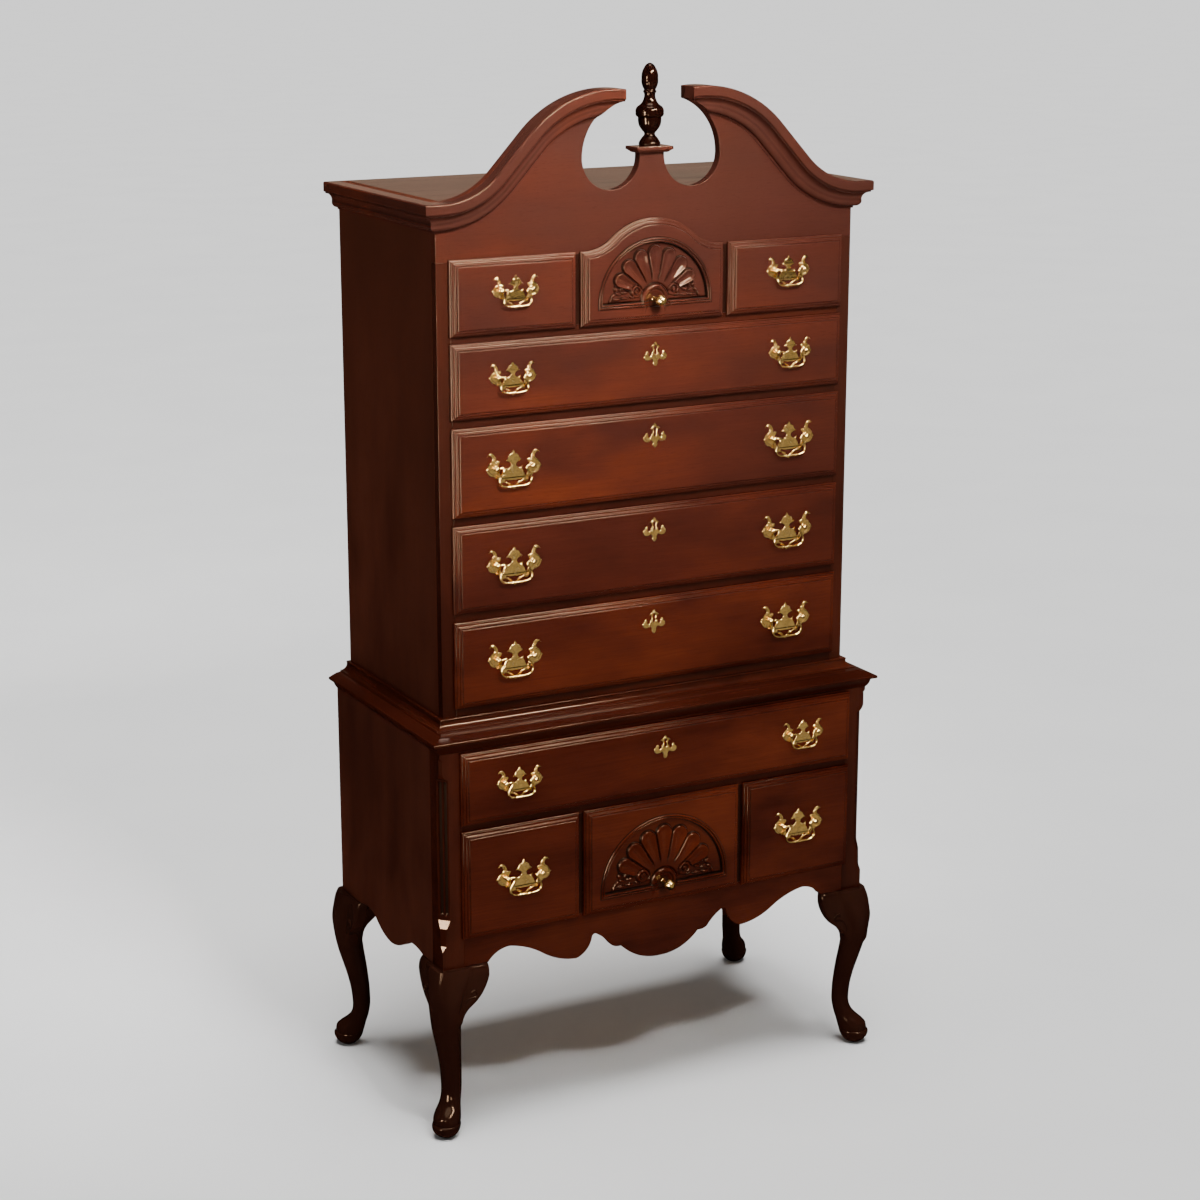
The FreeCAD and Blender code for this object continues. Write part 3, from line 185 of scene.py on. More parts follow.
def made(name, parts, finish, smooth=32.0, ease=0.0, steps=2):
    """One piece from closed parts (points, faces, grain, shade).  A part whose signed volume
    (a sixth of the sum of first corner . second corner x third corner) is negative is turned
    inside out.  Edges sharper than smooth stay crisp; ease rounds them with a bevel."""
    points, faces, grains, shades, start = [], [], [], [], 0
    for spots, sides, grain, shade in parts:
        sides = [np.atleast_2d(side) for side in sides]
        volume = 0.0
        for side in sides:
            for k in range(1, side.shape[1] - 1):
                a, b, c = spots[side[:, 0]], spots[side[:, k]], spots[side[:, k + 1]]
                volume += np.einsum("ij,ij->", a, np.cross(b, c))
        for side in sides:
            faces += ((side if volume > 0 else side[:, ::-1]) + start).tolist()
        points.append(spots * 0.001)
        grains.append(grain * 0.001)
        shades.append(np.zeros(len(spots)) + shade)
        start += len(spots)
    mesh = bpy.data.meshes.new(name)
    mesh.from_pydata(np.concatenate(points), [], faces)
    mesh.attributes.new("grain", "FLOAT_VECTOR", "POINT").data.foreach_set(
        "vector", np.concatenate(grains).ravel())
    mesh.attributes.new("shade", "FLOAT", "POINT").data.foreach_set(
        "value", np.concatenate(shades))
    mesh.shade_smooth()
    mesh.set_sharp_from_angle(angle=math.radians(smooth))
    mesh.materials.append(finish)
    mesh.validate()
    piece = bpy.data.objects.new(name, mesh)
    bpy.context.scene.collection.objects.link(piece)
    if ease:
        bevel = piece.modifiers.new("Eased", "BEVEL")
        bevel.width, bevel.segments = ease * 0.001, steps
        bevel.limit_method, bevel.angle_limit = "ANGLE", math.radians(smooth)
    return piece


def own_grain(points, along):
    """Places in the wood of one board: the axis along its grain first, moved by chance so
    that no two boards are alike."""
    order = [along] + [axis for axis in range(3) if axis != along]
    return points[:, order] + chance.uniform(0, 9000, 3)


def rings(points):
    """Faces of a grid of closed rings (ring, place in ring), then a flat end on the first
    ring and one on the last."""
    count, around = points.shape[:2]
    spots = np.arange(count * around).reshape(count, around)
    turned = np.roll(spots, -1, axis=1)
    faces = np.stack([spots[:-1], turned[:-1], turned[1:], spots[1:]], -1).reshape(-1, 4)
    return [faces, spots[0][::-1], spots[-1]]


def skinned(x, y, z, along=None, shade=0.0):
    """A part from rings of points, with its grain along an axis; metal has none."""
    ring = np.stack(np.broadcast_arrays(x, y, z), -1)
    points = ring.reshape(-1, 3)
    grain = points if along is None else own_grain(points, along)
    return points, rings(ring), grain, np.ravel(shade) if np.ndim(shade) else shade


def board(x, y, z, along=None):
    """A board between two values on each axis: corner = low + (high - low) * (0 or 1)."""
    low, high = np.array([x[0], y[0], z[0]]), np.array([x[1], y[1], z[1]])
    pick = np.array([[k & 1, k >> 1 & 1, k >> 2 & 1] for k in range(8)])
    points = low + (high - low) * pick
    faces = np.array([[0, 2, 3, 1], [4, 5, 7, 6], [0, 1, 5, 4], [2, 6, 7, 3], [0, 4, 6, 2],
                      [1, 3, 7, 5]])
    along = int(np.argmax(high - low)) if along is None else along
    return points, [faces], own_grain(points, along), 0.0


def beside(s, x0, x1):
    """Two distances from the middle, on the right (s = 1) or on the left (-1)."""
    return sorted((s * x0, s * x1))


def divider(s, x0, x1, front, deep, z0, z1):
    """The upright between two drawers, painted dark as the shade in its gap, with its guide and
    its bearer behind.
    """
    upright = board(beside(s, x0, x1), front, (z0, z1), 2)
    # Painted shade: 0.75 darkens the upright as the deep gap between the lips would be.
    return [(*upright[:3], 0.75), board(beside(s, x0, x1), deep, (z0, z0 + rail)),
            board(beside(s, x0 - stock, x1 + stock), deep, (z0 - rail, z0))]


rail, stock, post = 19, 20, 46.5        # boards behind the front, boards in it, corner posts
side_low, side_high = (np.array(corner) * 1000 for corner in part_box("upper_side_right"))
lower_low, lower_high = (np.array(corner) * 1000 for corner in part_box("lower_case_frame"))
upper_half, back, crown_top = side_high[0], side_high[1], side_high[2]
upper_inside, upper_face, lower_top = side_low[0], side_low[1] - stock, side_low[2]
lower_half, lower_face, leg_height = lower_high[0], lower_low[1], lower_low[2]
lap = 5                                 # a drawer's lip over the edge of its opening
lower_inside = lower_half - rail
panel_front = back - 10
upper_open, lower_open, runner = 428, 442, 30       # half widths of the wide openings
upper_mullion, lower_mullion = (152.5, 173), (174, 194.5)       # near and far edge
upper_rows = {5: (872, 1045), 4: (1061, 1234), 3: (1250, 1423), 2: (1439, 1584), 1: (1597, 1742)}
row_low = {row: span[0] + lap for row, span in upper_rows.items()}        # edges of the openings
row_high = {row: span[1] - lap for row, span in upper_rows.items()}
small_low, small_high, wide_low, wide_high = 420, 632.5, 655, 792

cherry = cherry_finish("cherry_case", (0.019, 0.003, 0.0014), (0.034, 0.0058, 0.0027),
                       (0.058, 0.0112, 0.0048), (0.042, 0.0135, 0.0083), 0.1, 0.12)
cherry_side = cherry_finish("cherry_sides", (0.036, 0.0082, 0.0041), (0.056, 0.0135, 0.0066),
                            (0.078, 0.0195, 0.0098), (0.066, 0.018, 0.0092), 0.4, 0.004)
cherry_front = cherry_finish("cherry_fronts", (0.027, 0.0033, 0.0014), (0.054, 0.0078, 0.0033),
                             (0.112, 0.0195, 0.0066), (0.052, 0.0188, 0.0132), 0.1, 0.12)

sides = [board(beside(s, upper_inside, upper_half), (upper_face + stock, back),
               (lower_top, crown_top), 2) for s in (-1, 1)]
upper_sides = made("upper_sides", sides, cherry_side, ease=0.8)
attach(upper_sides, "case")
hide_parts("upper_side_left", "upper_side_right")

front = (upper_face, upper_face + stock)
deep = (upper_face + stock, panel_front)
whole = (-upper_inside, upper_inside)
boards = [board(whole, deep, (lower_top, lower_top + rail)),
          board(whole, (upper_face + stock, back), (crown_top - rail, crown_top)),
          board((-upper_open, upper_open), front, (lower_top, row_low[5]))]
boards += [board((-upper_open, upper_open), front, (row_high[row + 1], row_low[row]))
           for row in (1, 2, 3, 4)]
for s in (-1, 1):
    boards.append(board(beside(s, upper_open, upper_half), front, (lower_top, row_high[1])))
    for low in row_low.values():
        boards += [board(beside(s, upper_open - runner, upper_inside), deep, (low - rail, low)),
                   board(beside(s, upper_open, upper_inside), deep, (low, low + rail))]
    boards += divider(s, *upper_mullion, front, deep, row_low[1], row_high[1])
upper_frame = made("upper_case_boards", boards, cherry, ease=0.6)
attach(upper_frame, "case")
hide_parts("upper_case_frame")

# ---- Back panels -----------------------------------------------------------------------
# Two thin panels of pale wood set into the backs of the cases; they take no stain, only a
# thin wash, and their grain runs across.


def plain_wood_finish(name, deep, light):
    """Pale drawer wood: broad bands and fine streaks along the grain under a dull wash."""
    material, shader, mix = new_finish(name)
    shifted = mix.bent(mix.told("grain", "Vector"), (2.5, 8.0, 8.0), 0.05)
    band = mix.noise(shifted, (1.2, 40.0, 40.0), 3.0, 0.6).held(0.3, 0.7)
    streak = mix.noise(shifted, (6.0, 420.0, 420.0), 2.0).held(0.3, 0.7)
    colour = mix.blend(deep, light, band * 0.6 + streak * 0.4)
    # Painted shade: darker where 'shade' is marked; no board in this wood has any.
    colour = mix.blend(colour, (0.06, 0.035, 0.02), mix.told("shade") * 0.8)
    join(shader, colour, 0.55 + 0.12 * streak, streak, 0.12, 0.0005)
    return material


drawer_wood = plain_wood_finish("drawer_wood_plain", (0.36, 0.22, 0.11), (0.52, 0.36, 0.2))
panel_y = (panel_front, back - 4)
panels = made("case_back_panels", [
    board(whole, panel_y, (lower_top, crown_top - rail), 0),
    board((-lower_inside, lower_inside), panel_y, (leg_height, lower_top - rail), 0)],
    drawer_wood, ease=0.4)
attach(panels, "case")
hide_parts("back_panels")

# ---- Lower case: corner posts, rails and runners ---------------------------------------
# Square front posts, their outer corners cut to a chamfer that ends in lamb's tongues and
# carries two flutes; rails and runners are boards like those of the upper case.

# height, and how far the corner is cut back there
CHAMFER = np.array([(393, 0), (395, 0.8), (404, 7.6), (406, 8), (440, 9.6), (442, 10.4),
                    (457, 17.4), (460, 18), (746, 18), (750, 10), (758, 5.4), (766, 4.6),
                    (776, 4.9), (788, 5.3), (793, 0)])
diagonal = 0.7071                       # the sine of 45 degrees


def smoothed(value, low, high):
    """0 below low, 1 above high, and an even S between them."""
    share = np.clip((value - low) / (high - low), 0, 1)
    return share * share * (3 - 2 * share)


def dome(value):
    """The height of a round of radius 1 at a value from its middle, and 0 beyond it."""
    return np.sqrt(np.clip(1 - value ** 2, 0, 1))


def corner_post(s):
    """A square post whose outer corner is cut back by c(z): c runs 0 to 18 through an S at
    each tongue, and two round grooves of depth f(z) run down the cut face."""
    low, high = leg_height, lower_top - rail
    z = np.concatenate([[low, 383], np.linspace(388, 480, 70), np.linspace(490, 715, 14),
                        np.linspace(722, 800, 60), [high]])
    cut = np.interp(z, CHAMFER[:, 0], CHAMFER[:, 1])
    groove = 3.6 * dome((np.clip(z, 472, 738) - z) / 5)
    t = np.linspace(0, 1, 41)
    dish = np.maximum(dome((t - 0.3) / 0.15), dome((t - 0.7) / 0.15))
    sink = groove[:, None] * dish * diagonal
    square = np.zeros((len(z), 3))
    x = np.hstack([lower_half - cut[:, None] * (1 - t) - sink,
                   square + lower_half - (0, post, post)])
    y = np.hstack([lower_face + cut[:, None] * t + sink,
                   square + lower_face + (post, post, 0)])
    # Painted shade: sink / 3 darkens the flutes.
    return skinned(s * x, y, z[:, None], 2, np.hstack([sink / 3.0, square]))


posts = made("corner_posts", [corner_post(-1), corner_post(1)], cherry, smooth=38)
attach(posts, "case")

front = (lower_face, lower_face + stock)
deep = (lower_face + stock, panel_front)
boards = [board((-lower_half, lower_half), (lower_face, back), (lower_top - rail, lower_top), 0),
          board((-lower_open, lower_open), front, (wide_high, lower_top - rail)),
          board((-lower_open, lower_open), front, (small_high, wide_low))]
for s in (-1, 1):
    for low in (small_low, wide_low):
        boards += [board(beside(s, lower_open - runner, lower_open), deep, (low - rail, low)),
                   board(beside(s, lower_open, lower_inside), (lower_face + post, panel_front),
                         (low - rail, low + rail))]
    boards += divider(s, *lower_mullion, front, deep, small_low, small_high)
lower_frame = made("lower_case_boards", boards, cherry, ease=0.6)
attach(lower_frame, "case")
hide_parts("lower_case_frame")
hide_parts("lower_case_frame")

# ---- Lower sides and apron -------------------------------------------------------------
# Boards sawn to a shaped lower edge: one lobe under each side, and a lobe each side of a
# deeper middle drop under the front.


def traced(start, steps, count=10):
    """Points along straight lines (end) and arcs through a middle point (middle, end): an
    arc is the circle through its three points, divided by equal angles."""
    line = [np.array([start], float)]
    here = np.array(start, float)
    for step in steps:
        end = np.array(step[-1], float)
        if len(step) == 1:
            line.append(end[None])
        else:
            a, b = np.array(step[0], float) - here, end - here
            cross = 2 * (a[0] * b[1] - a[1] * b[0])
            centre = here + np.array([b[1] * (a @ a) - a[1] * (b @ b),
                                      a[0] * (b @ b) - b[0] * (a @ a)]) / cross
            first, last = (math.atan2(*(p - centre)[::-1]) for p in (here, end))
            turn = (last - first) % (2 * math.pi)
            turn = turn if cross > 0 else turn - 2 * math.pi
            angle = first + turn * np.linspace(0, 1, count + 1)[1:]
            radius = np.hypot(*(here - centre))
            line.append(centre + radius * np.stack([np.cos(angle), np.sin(angle)], 1))
        here = end
    return np.concatenate(line)


def on_side(s):
    """Puts (across, up, depth) on a side, where across runs back."""
    return lambda across, up, depth: (s * depth, across, up)


def on_front(across, up, depth):
    """Puts (across, up, depth) on the front."""
    return across, depth, up


def sawn(outline, place, near, far, along):
    """A board with a sawn outline: the outline at the near face and again at the far face,
    a wall between them; place puts (across, up, depth) on the three axes."""
    return skinned(*place(*outline.T, np.array([[near], [far]])), along)


seat = 99                               # of a leg under the side, from each corner
reach = (back - lower_face) / 2 - seat
lobe = np.array([(0.12, 4), (0.26, 5.5), (0.38, 3.5), (0.52, -5.44), (0.74, -24), (1, -32)])
near = lobe * (reach, 1) + (lower_face + seat, leg_height)
far = lobe[::-1] * (-reach, 1) + (back - seat, leg_height)
post_y = lower_face + post
outline = traced((post_y, leg_height), [
    ((lower_face + seat, leg_height),), (near[0], near[1]), (near[2], near[3]),
    (near[4], near[5]), (far[1], far[2]), (far[3], far[4]), (far[5], (back - seat, leg_height)),
    ((back, leg_height),), ((back, lower_top - rail),), ((post_y, lower_top - rail),)], 12)
lower_sides = made("lower_sides", [
    sawn(outline, on_side(s), lower_inside, lower_half, 2) for s in (-1, 1)], cherry_side,
    ease=0.8)
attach(lower_sides, "case")
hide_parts("lower_side_left", "lower_side_right")

curve = np.array([(389.5, 0), (373, 15.6), (342, 25), (308, 16), (265, -7), (230, -23.87),
                  (193, -31), (172, -19.22), (157, 8), (153, 14), (147, 13.5), (128, 0),
                  (112, -17.835), (101, -22.755), (90, -22.755), (53, -50.43), (0, -61.5)])
right = curve + (0, leg_height)
left = right[::-1] * (-1, 1)
steps = [((lower_open, leg_height),), (right[0],)]
steps += [(half[k], half[k + 1]) for half in (right, left) for k in range(1, 16, 2)]
steps += [((-lower_open, leg_height),), ((-lower_open, small_low),)]
outline = traced((lower_open, small_low), steps, 12)
apron = made("front_apron_board", [sawn(outline, on_front, lower_face, lower_face + stock, 0)],
             cherry_front, ease=0.8)
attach(apron, "case")
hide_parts("front_apron")

# ---- Waist moulding --------------------------------------------------------------------
# The ledge that the upper case stands in: a wide moulded edge with a bed cove under it and
# a cove strip round the foot of the upper case, all mitred at the front corners.


def mitred(profile, half, face, rear):
    """A profile (in from the tip line, up) carried back to front, across and back again:
    at each corner a point goes in by the same distance along both walls."""
    inward, up = profile[:, 0], profile[:, 1]
    x, y = half - inward, face + inward
    rear = np.full_like(y, rear)
    points, faces = skinned(np.stack([-x, -x, x, x]), np.stack([rear, y, y, rear]), up)[:2]
    grain = np.stack([points[:, 0] + points[:, 1], np.tile(inward, 4), points[:, 2]], 1)
    return points, faces, grain + chance.uniform(0, 9000, 3), 0.0


over, inner, shelf = 18.3, 49.8, 10.5     # how far it stands over, its width and top
steps = [((over, 0),), ((inner, 0),), ((inner, shelf),), ((over + 8, shelf),),
         ((over + 7.5, 8.5),), ((over - 1, 7.3),), ((2.6, 0.9),), ((0.2, -0.6), (0.1, -2.6)),
         ((0.2, -4.6), (2.4, -5.6)), ((0.55 * over, -7),),
         ((0.66 * over, -16.1), (0.9 * over, -23.9)), ((over, -26),)]
profile = traced((over, -26), steps, 8)[:-1] + (0, lower_top)
waist_parts = [mitred(profile, lower_half + over, lower_face - over, back),
               board((-upper_half, upper_half), (lower_face - over + inner, upper_face),
                     (lower_top, lower_top + shelf), 0)]
strip, rise = 23, 19.5
steps = [((-strip, 0),), ((-strip, 0.08 * rise),),
         ((-0.55 * strip, 0.26 * rise), (-0.37 * strip, 0.72 * rise)),
         ((-0.37 * strip, 0.80 * rise),), ((-0.41 * strip, 0.90 * rise), (-0.33 * strip, rise)),
         ((0, rise),)]
profile = traced((0, 0), steps, 8) + (0, lower_top + shelf)
waist_parts.append(mitred(profile, upper_half, upper_face, back))
waist = made("waist_ledge", waist_parts, cherry, smooth=28, ease=0.5)
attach(waist, "case")
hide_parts("waist_moulding")

# ---- Pediment board --------------------------------------------------------------------
# One board behind the scrolls: arched over the middle drawer, with two round openings
# beside the neck that carries the finial.

turn = math.radians(47)
hollow, crest = 0.35667 * upper_half, 0.5186 * upper_half      # radii of the two curves
rise = 197.5                                                   # of the scroll over the sides
run = (rise - (hollow + crest) * (1 - math.cos(turn))) / math.sin(turn)
hollow_end = (upper_half - hollow * math.sin(turn), crown_top + hollow * (1 - math.cos(turn)))
crest_start = (hollow_end[0] - run * math.cos(turn), hollow_end[1] + run * math.sin(turn))
crest_centre = (crest_start[0] - crest * math.sin(turn), crown_top + rise - crest)
neck, eye, scroll_end, end_z = 26.5, 62.2, 73.5, crown_top + 172.5
eye_z, cap_z, middle_y = crown_top + 68, crown_top + 73, upper_face + 10
outer = neck + 2 * eye
sweep = ((outer - scroll_end) ** 2 + (end_z - eye_z) ** 2) / (2 * (outer - scroll_end))
sweep_centre = (outer - sweep, eye_z)


def round_points(centre, radius, first, last, count):
    """Points on a circle between two angles measured from upright, clockwise."""
    angle = np.linspace(first, last, count)
    return np.stack([centre[0] + radius * np.sin(angle), centre[1] + radius * np.cos(angle)], 1)


def arch_outline(half, low, high, inset):
    """Right half of the arched outline, inset by a distance: up the side, along the
    shoulder, the hollow curve and the round arch to the middle."""
    arc, crown, lift = math.radians(42), 135.0, 56.5
    bend = (lift - crown * (1 - math.cos(arc))) / (1 - math.cos(arc))
    foot, side = (crown + bend) * math.sin(arc), half - inset
    first = 0.0 if foot < side else math.asin((foot - side) / (bend + inset))
    hollow_line = round_points((foot, high + bend), -(bend + inset), first, arc, 14)
    crown_line = round_points((0, high + lift - crown), crown - inset, arc, 0, 28)[1:]
    return np.concatenate([[[side, low + inset], [side, hollow_line[0, 1]]], hollow_line,
                           crown_line])


crest_out = math.asin((scroll_end - crest_centre[0]) / crest)
sweep_top = math.acos((end_z - sweep_centre[1]) / sweep)
right = np.concatenate([
    arch_outline(upper_mullion[0] + lap, *upper_rows[1], lap)[1:][::-1],
    [[upper_half, row_high[1]]],
    [[upper_half, crown_top]],
    round_points((upper_half, crown_top + hollow), hollow, math.pi, math.pi + turn, 20)[1:],
    round_points(crest_centre, crest, turn, crest_out, 30),
    round_points(sweep_centre, sweep, sweep_top, math.pi / 2, 16),
    round_points((neck + eye, eye_z), eye, math.pi / 2, 3 * math.pi / 2, 40)[1:],
    [[neck, cap_z]]])
outline = np.concatenate([right, right[-1:0:-1] * (-1, 1)])
pediment = made("pediment_front", [sawn(outline, on_front, upper_face, upper_face + stock, 0)],
                cherry_front, ease=0.7)
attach(pediment, "case")
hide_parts("pediment_board")

# ---- Crown mouldings -------------------------------------------------------------------
# A deep moulding up each scroll, its lower members cut away by the round opening, mitred
# at the corners to straight returns along the sides; the plinth has its own small cap.


def closer(outline, step=1.0, rounding=math.ceil):
    """The same line with each edge divided into its length over the step, rounded."""
    line = [outline[:1]]
    for a, b in zip(outline, outline[1:]):
        pieces = max(1, int(rounding(np.hypot(*(b - a)) / step)))
        line.append(a + (b - a) * (np.arange(1, pieces + 1) / pieces)[:, None])
    return np.concatenate(line)


def bell(value, at, wide):
    """A hump, 1 at a value, falling as e to the minus (distance / wide) squared."""
    return np.exp(-((value - at) / wide) ** 2)


out, down = 32.0, 55.5
steps = [((0.89 * out, 0),), ((0.97 * out, 0.02 * down), (out, 0.075 * down)),
         ((out, 0.30 * down),), ((0.98 * out, 0.345 * down), (0.93 * out, 0.36 * down)),
         ((0.88 * out, 0.36 * down),), ((0.88 * out, 0.41 * down),),
         ((0.58 * out, 0.49 * down), (0.46 * out, 0.66 * down)), ((0.46 * out, 0.70 * down),),
         ((0.40 * out, 0.86 * down), (0.16 * out, 0.93 * down)), ((0.09 * out, 0.93 * down),),
         ((0.09 * out, down),), ((0, down),)]
profile = closer(traced((0, 0), steps, 8), 2.5, int)
reach_out, drop = profile[:, 0], profile[:, 1]
# Painted shade: groove darkens the colour along the two coves of the crown moulding.
groove = 0.75 * bell(drop, 0.38 * down, 1.6) * (reach_out < 0.97 * out)
groove += 0.5 * bell(drop, 0.68 * down, 1.5) * (reach_out < 0.6 * out)


def scroll_moulding(s):
    """The crown carried up the scroll: each point lies its drop inside the top line; the
    round of the crest runs for each drop to the plane of the cut end, and where the opening
    comes nearer than the drop, the drop stops at the opening."""
    rows = [(np.stack([upper_half + reach_out, crown_top - drop], 1), 0 * drop)]
    centre = np.array([upper_half, crown_top + hollow])
    for a in np.linspace(0, turn, 22):
        downward = np.array([-math.sin(a), -math.cos(a)])
        rows.append((centre + downward * (hollow + drop)[:, None], 0 * drop + hollow * a))
    before = hollow * turn
    for share in np.linspace(0, 1, 8)[1:-1]:
        middle = hollow_end + (np.array(crest_start) - hollow_end) * share
        rows.append((middle + downward * drop[:, None], 0 * drop + before + run * share))
    final = np.arcsin((scroll_end - crest_centre[0]) / (crest - drop))
    for share in np.linspace(0, 1, 44):
        a = turn + (final - turn) * share
        upward = np.stack([np.sin(a), np.cos(a)], 1)
        offset = crest_centre + crest * upward - sweep_centre
        half_b = np.einsum("ij,ij->i", offset, upward)
        inside = half_b ** 2 - (np.einsum("ij,ij->i", offset, offset) - sweep ** 2)
        hit = np.where(inside > 0, half_b - np.sqrt(np.maximum(inside, 0)), 1e3)
        hit = np.where(hit < 0, 1e3, hit)
        rows.append((crest_centre + upward * (crest - np.minimum(drop, hit))[:, None],
                     before + run + crest * (turn - a)))
    flat, along = (np.stack(values) for values in zip(*rows))
    points, faces = skinned(s * flat[..., 0], upper_face - reach_out, flat[..., 1])[:2]
    grain = np.stack(np.broadcast_arrays(along, reach_out, drop), -1).reshape(-1, 3)
    shade = np.broadcast_to(groove, along.shape).ravel()
    return points, faces, grain + chance.uniform(0, 9000, 3), shade


def crown_return(s):
    """The straight side moulding, from its mitre at the corner back to the case's back."""
    mitre = upper_face - reach_out
    y = mitre + (back - mitre) * np.linspace(0, 1, 9)[:, None]
    return skinned(s * (upper_half + reach_out), y, crown_top - drop, 1,
                   np.broadcast_to(groove, y.shape))


def square_rings(levels):
    """Square rings on the neck, each as (half width, half depth, height above it)."""
    wide, deep, high = np.array(levels, float).T[..., None]
    return skinned(wide * (-1, 1, 1, -1), middle_y + deep * (-1, -1, 1, 1), cap_z + high, 0)


cap = square_rings([(30, 15.5, 0), (32, 17.5, 0.7), (33.4, 18.9, 2.2), (35.2, 20.7, 3.6),
                    (36.4, 21.9, 4.4), (37.5, 23, 5.4), (38.6, 24.1, 5.6), (39, 24.5, 6.4),
                    (39, 24.5, 10.8), (38.4, 23.9, 12)])
crown = made("crown_and_cap", [scroll_moulding(1), scroll_moulding(-1), crown_return(1),
                               crown_return(-1), cap], cherry_front, smooth=30)
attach(crown, "case")
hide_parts("crown_mouldings")

# ---- Finial ----------------------------------------------------------------------------
# A turned urn with a pointed bud, standing on the plinth's cap.


def turned(profile, around):
    """A profile (radius, distance) turned about an axis: both ways across it and along it,
    as radius * cos, radius * sin and distance."""
    angle = np.linspace(0, 2 * math.pi, around, endpoint=False)
    radius, along = profile.T[..., None]
    return radius * np.cos(angle), radius * np.sin(angle), along


steps = [((20, 0),), ((21, 4), (19.6, 8.4)), ((17, 12.8), (12.4, 18.6)),
         ((10.3, 22.6), (12.6, 27)), ((16.6, 31.8), (20.6, 38.4)), ((22.2, 45.6), (22.4, 54.2)),
         ((26.2, 57), (27.1, 62.6)), ((26.6, 69.4), (23, 74.8)), ((16, 80.4), (12.2, 87.4)),
         ((10.7, 93.4), (11, 99.4)), ((12.7, 101.2), (12.1, 104)), ((11.2, 105.4), (11.6, 107)),
         ((15.4, 116), (16, 127)), ((15, 138), (11, 147)), ((6.6, 153), (0.1, 156))]
across, deep, up = turned(traced((0.1, 0), steps, 9), 48)
urn = skinned(across, middle_y + deep, cap_z + 12 + up, 2)
cherry_urn = cherry_finish("cherry_turned", (0.008, 0.0019, 0.001), (0.011, 0.0026, 0.0013),
                           (0.016, 0.0036, 0.0017), (0.006, 0.0014, 0.0008), 0.07, 0.12)
finial = made("finial_urn", [(*urn[:2], urn[2] * 0.3, 0.0)], cherry_urn, smooth=40)
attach(finial, "case")
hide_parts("finial")

# ---- Cabriole legs ---------------------------------------------------------------------
# Four legs shaped from the solid: pad foot with a ledge, thin ankle, round knee, and a
# carved wing under each face of the case.

# height, centre out from the case corner along the diagonal, half width along and across it,
# and how square the section is
LEG = np.array([(0, -5, 10, 10, 2), (1.2, -4.8, 13.6, 13.4, 2), (4, -4.6, 18.5, 18, 2),
                (9, -4.6, 24.2, 23.4, 2), (15, -4.6, 28.4, 26.8, 2), (21, -4.9, 30.8, 28.4, 2),
                (25.5, -5.5, 31.6, 28.8, 2), (27.4, -6.4, 31.2, 28.4, 2),
                (28.8, -7.8, 29.4, 26.8, 2), (31, -8.6, 30.2, 27.2, 2),
                (36, -9.4, 31, 27.6, 2), (44, -11.4, 31.4, 26.8, 2), (52, -17, 28, 25, 2),
                (60, -24, 24, 22.5, 2), (70, -31.5, 19.5, 20.5, 2.1),
                (80, -35.6, 17.9, 20.2, 2.1), (96, -37.7, 17.8, 20.6, 2.2),
                (131, -35.6, 18.8, 21.2, 2.3), (160, -30.5, 20.4, 22.6, 2.4),
                (186, -24.6, 22.4, 24.2, 2.5), (214, -17.4, 24.2, 26.8, 2.6),
                (242, -11.4, 26, 29.6, 2.7), (269, -8.6, 29.4, 33, 2.8),
                (290, -8.8, 32.6, 37, 3), (306, -13, 34.5, 40, 3.2), (325, -21, 37, 43, 3.6),
                (343, -29, 38, 45, 4), (355, -35, 38, 46, 4.5)])
# height, and how far a bracket reaches along its face there
BRACKET = np.array([(205, 22), (231, 33.5), (248, 38), (258, 43), (268, 51), (282, 69.5),
                    (295, 81), (308, 89), (320, 94.5), (332, 98.2), (345, 99), (355, 98)])


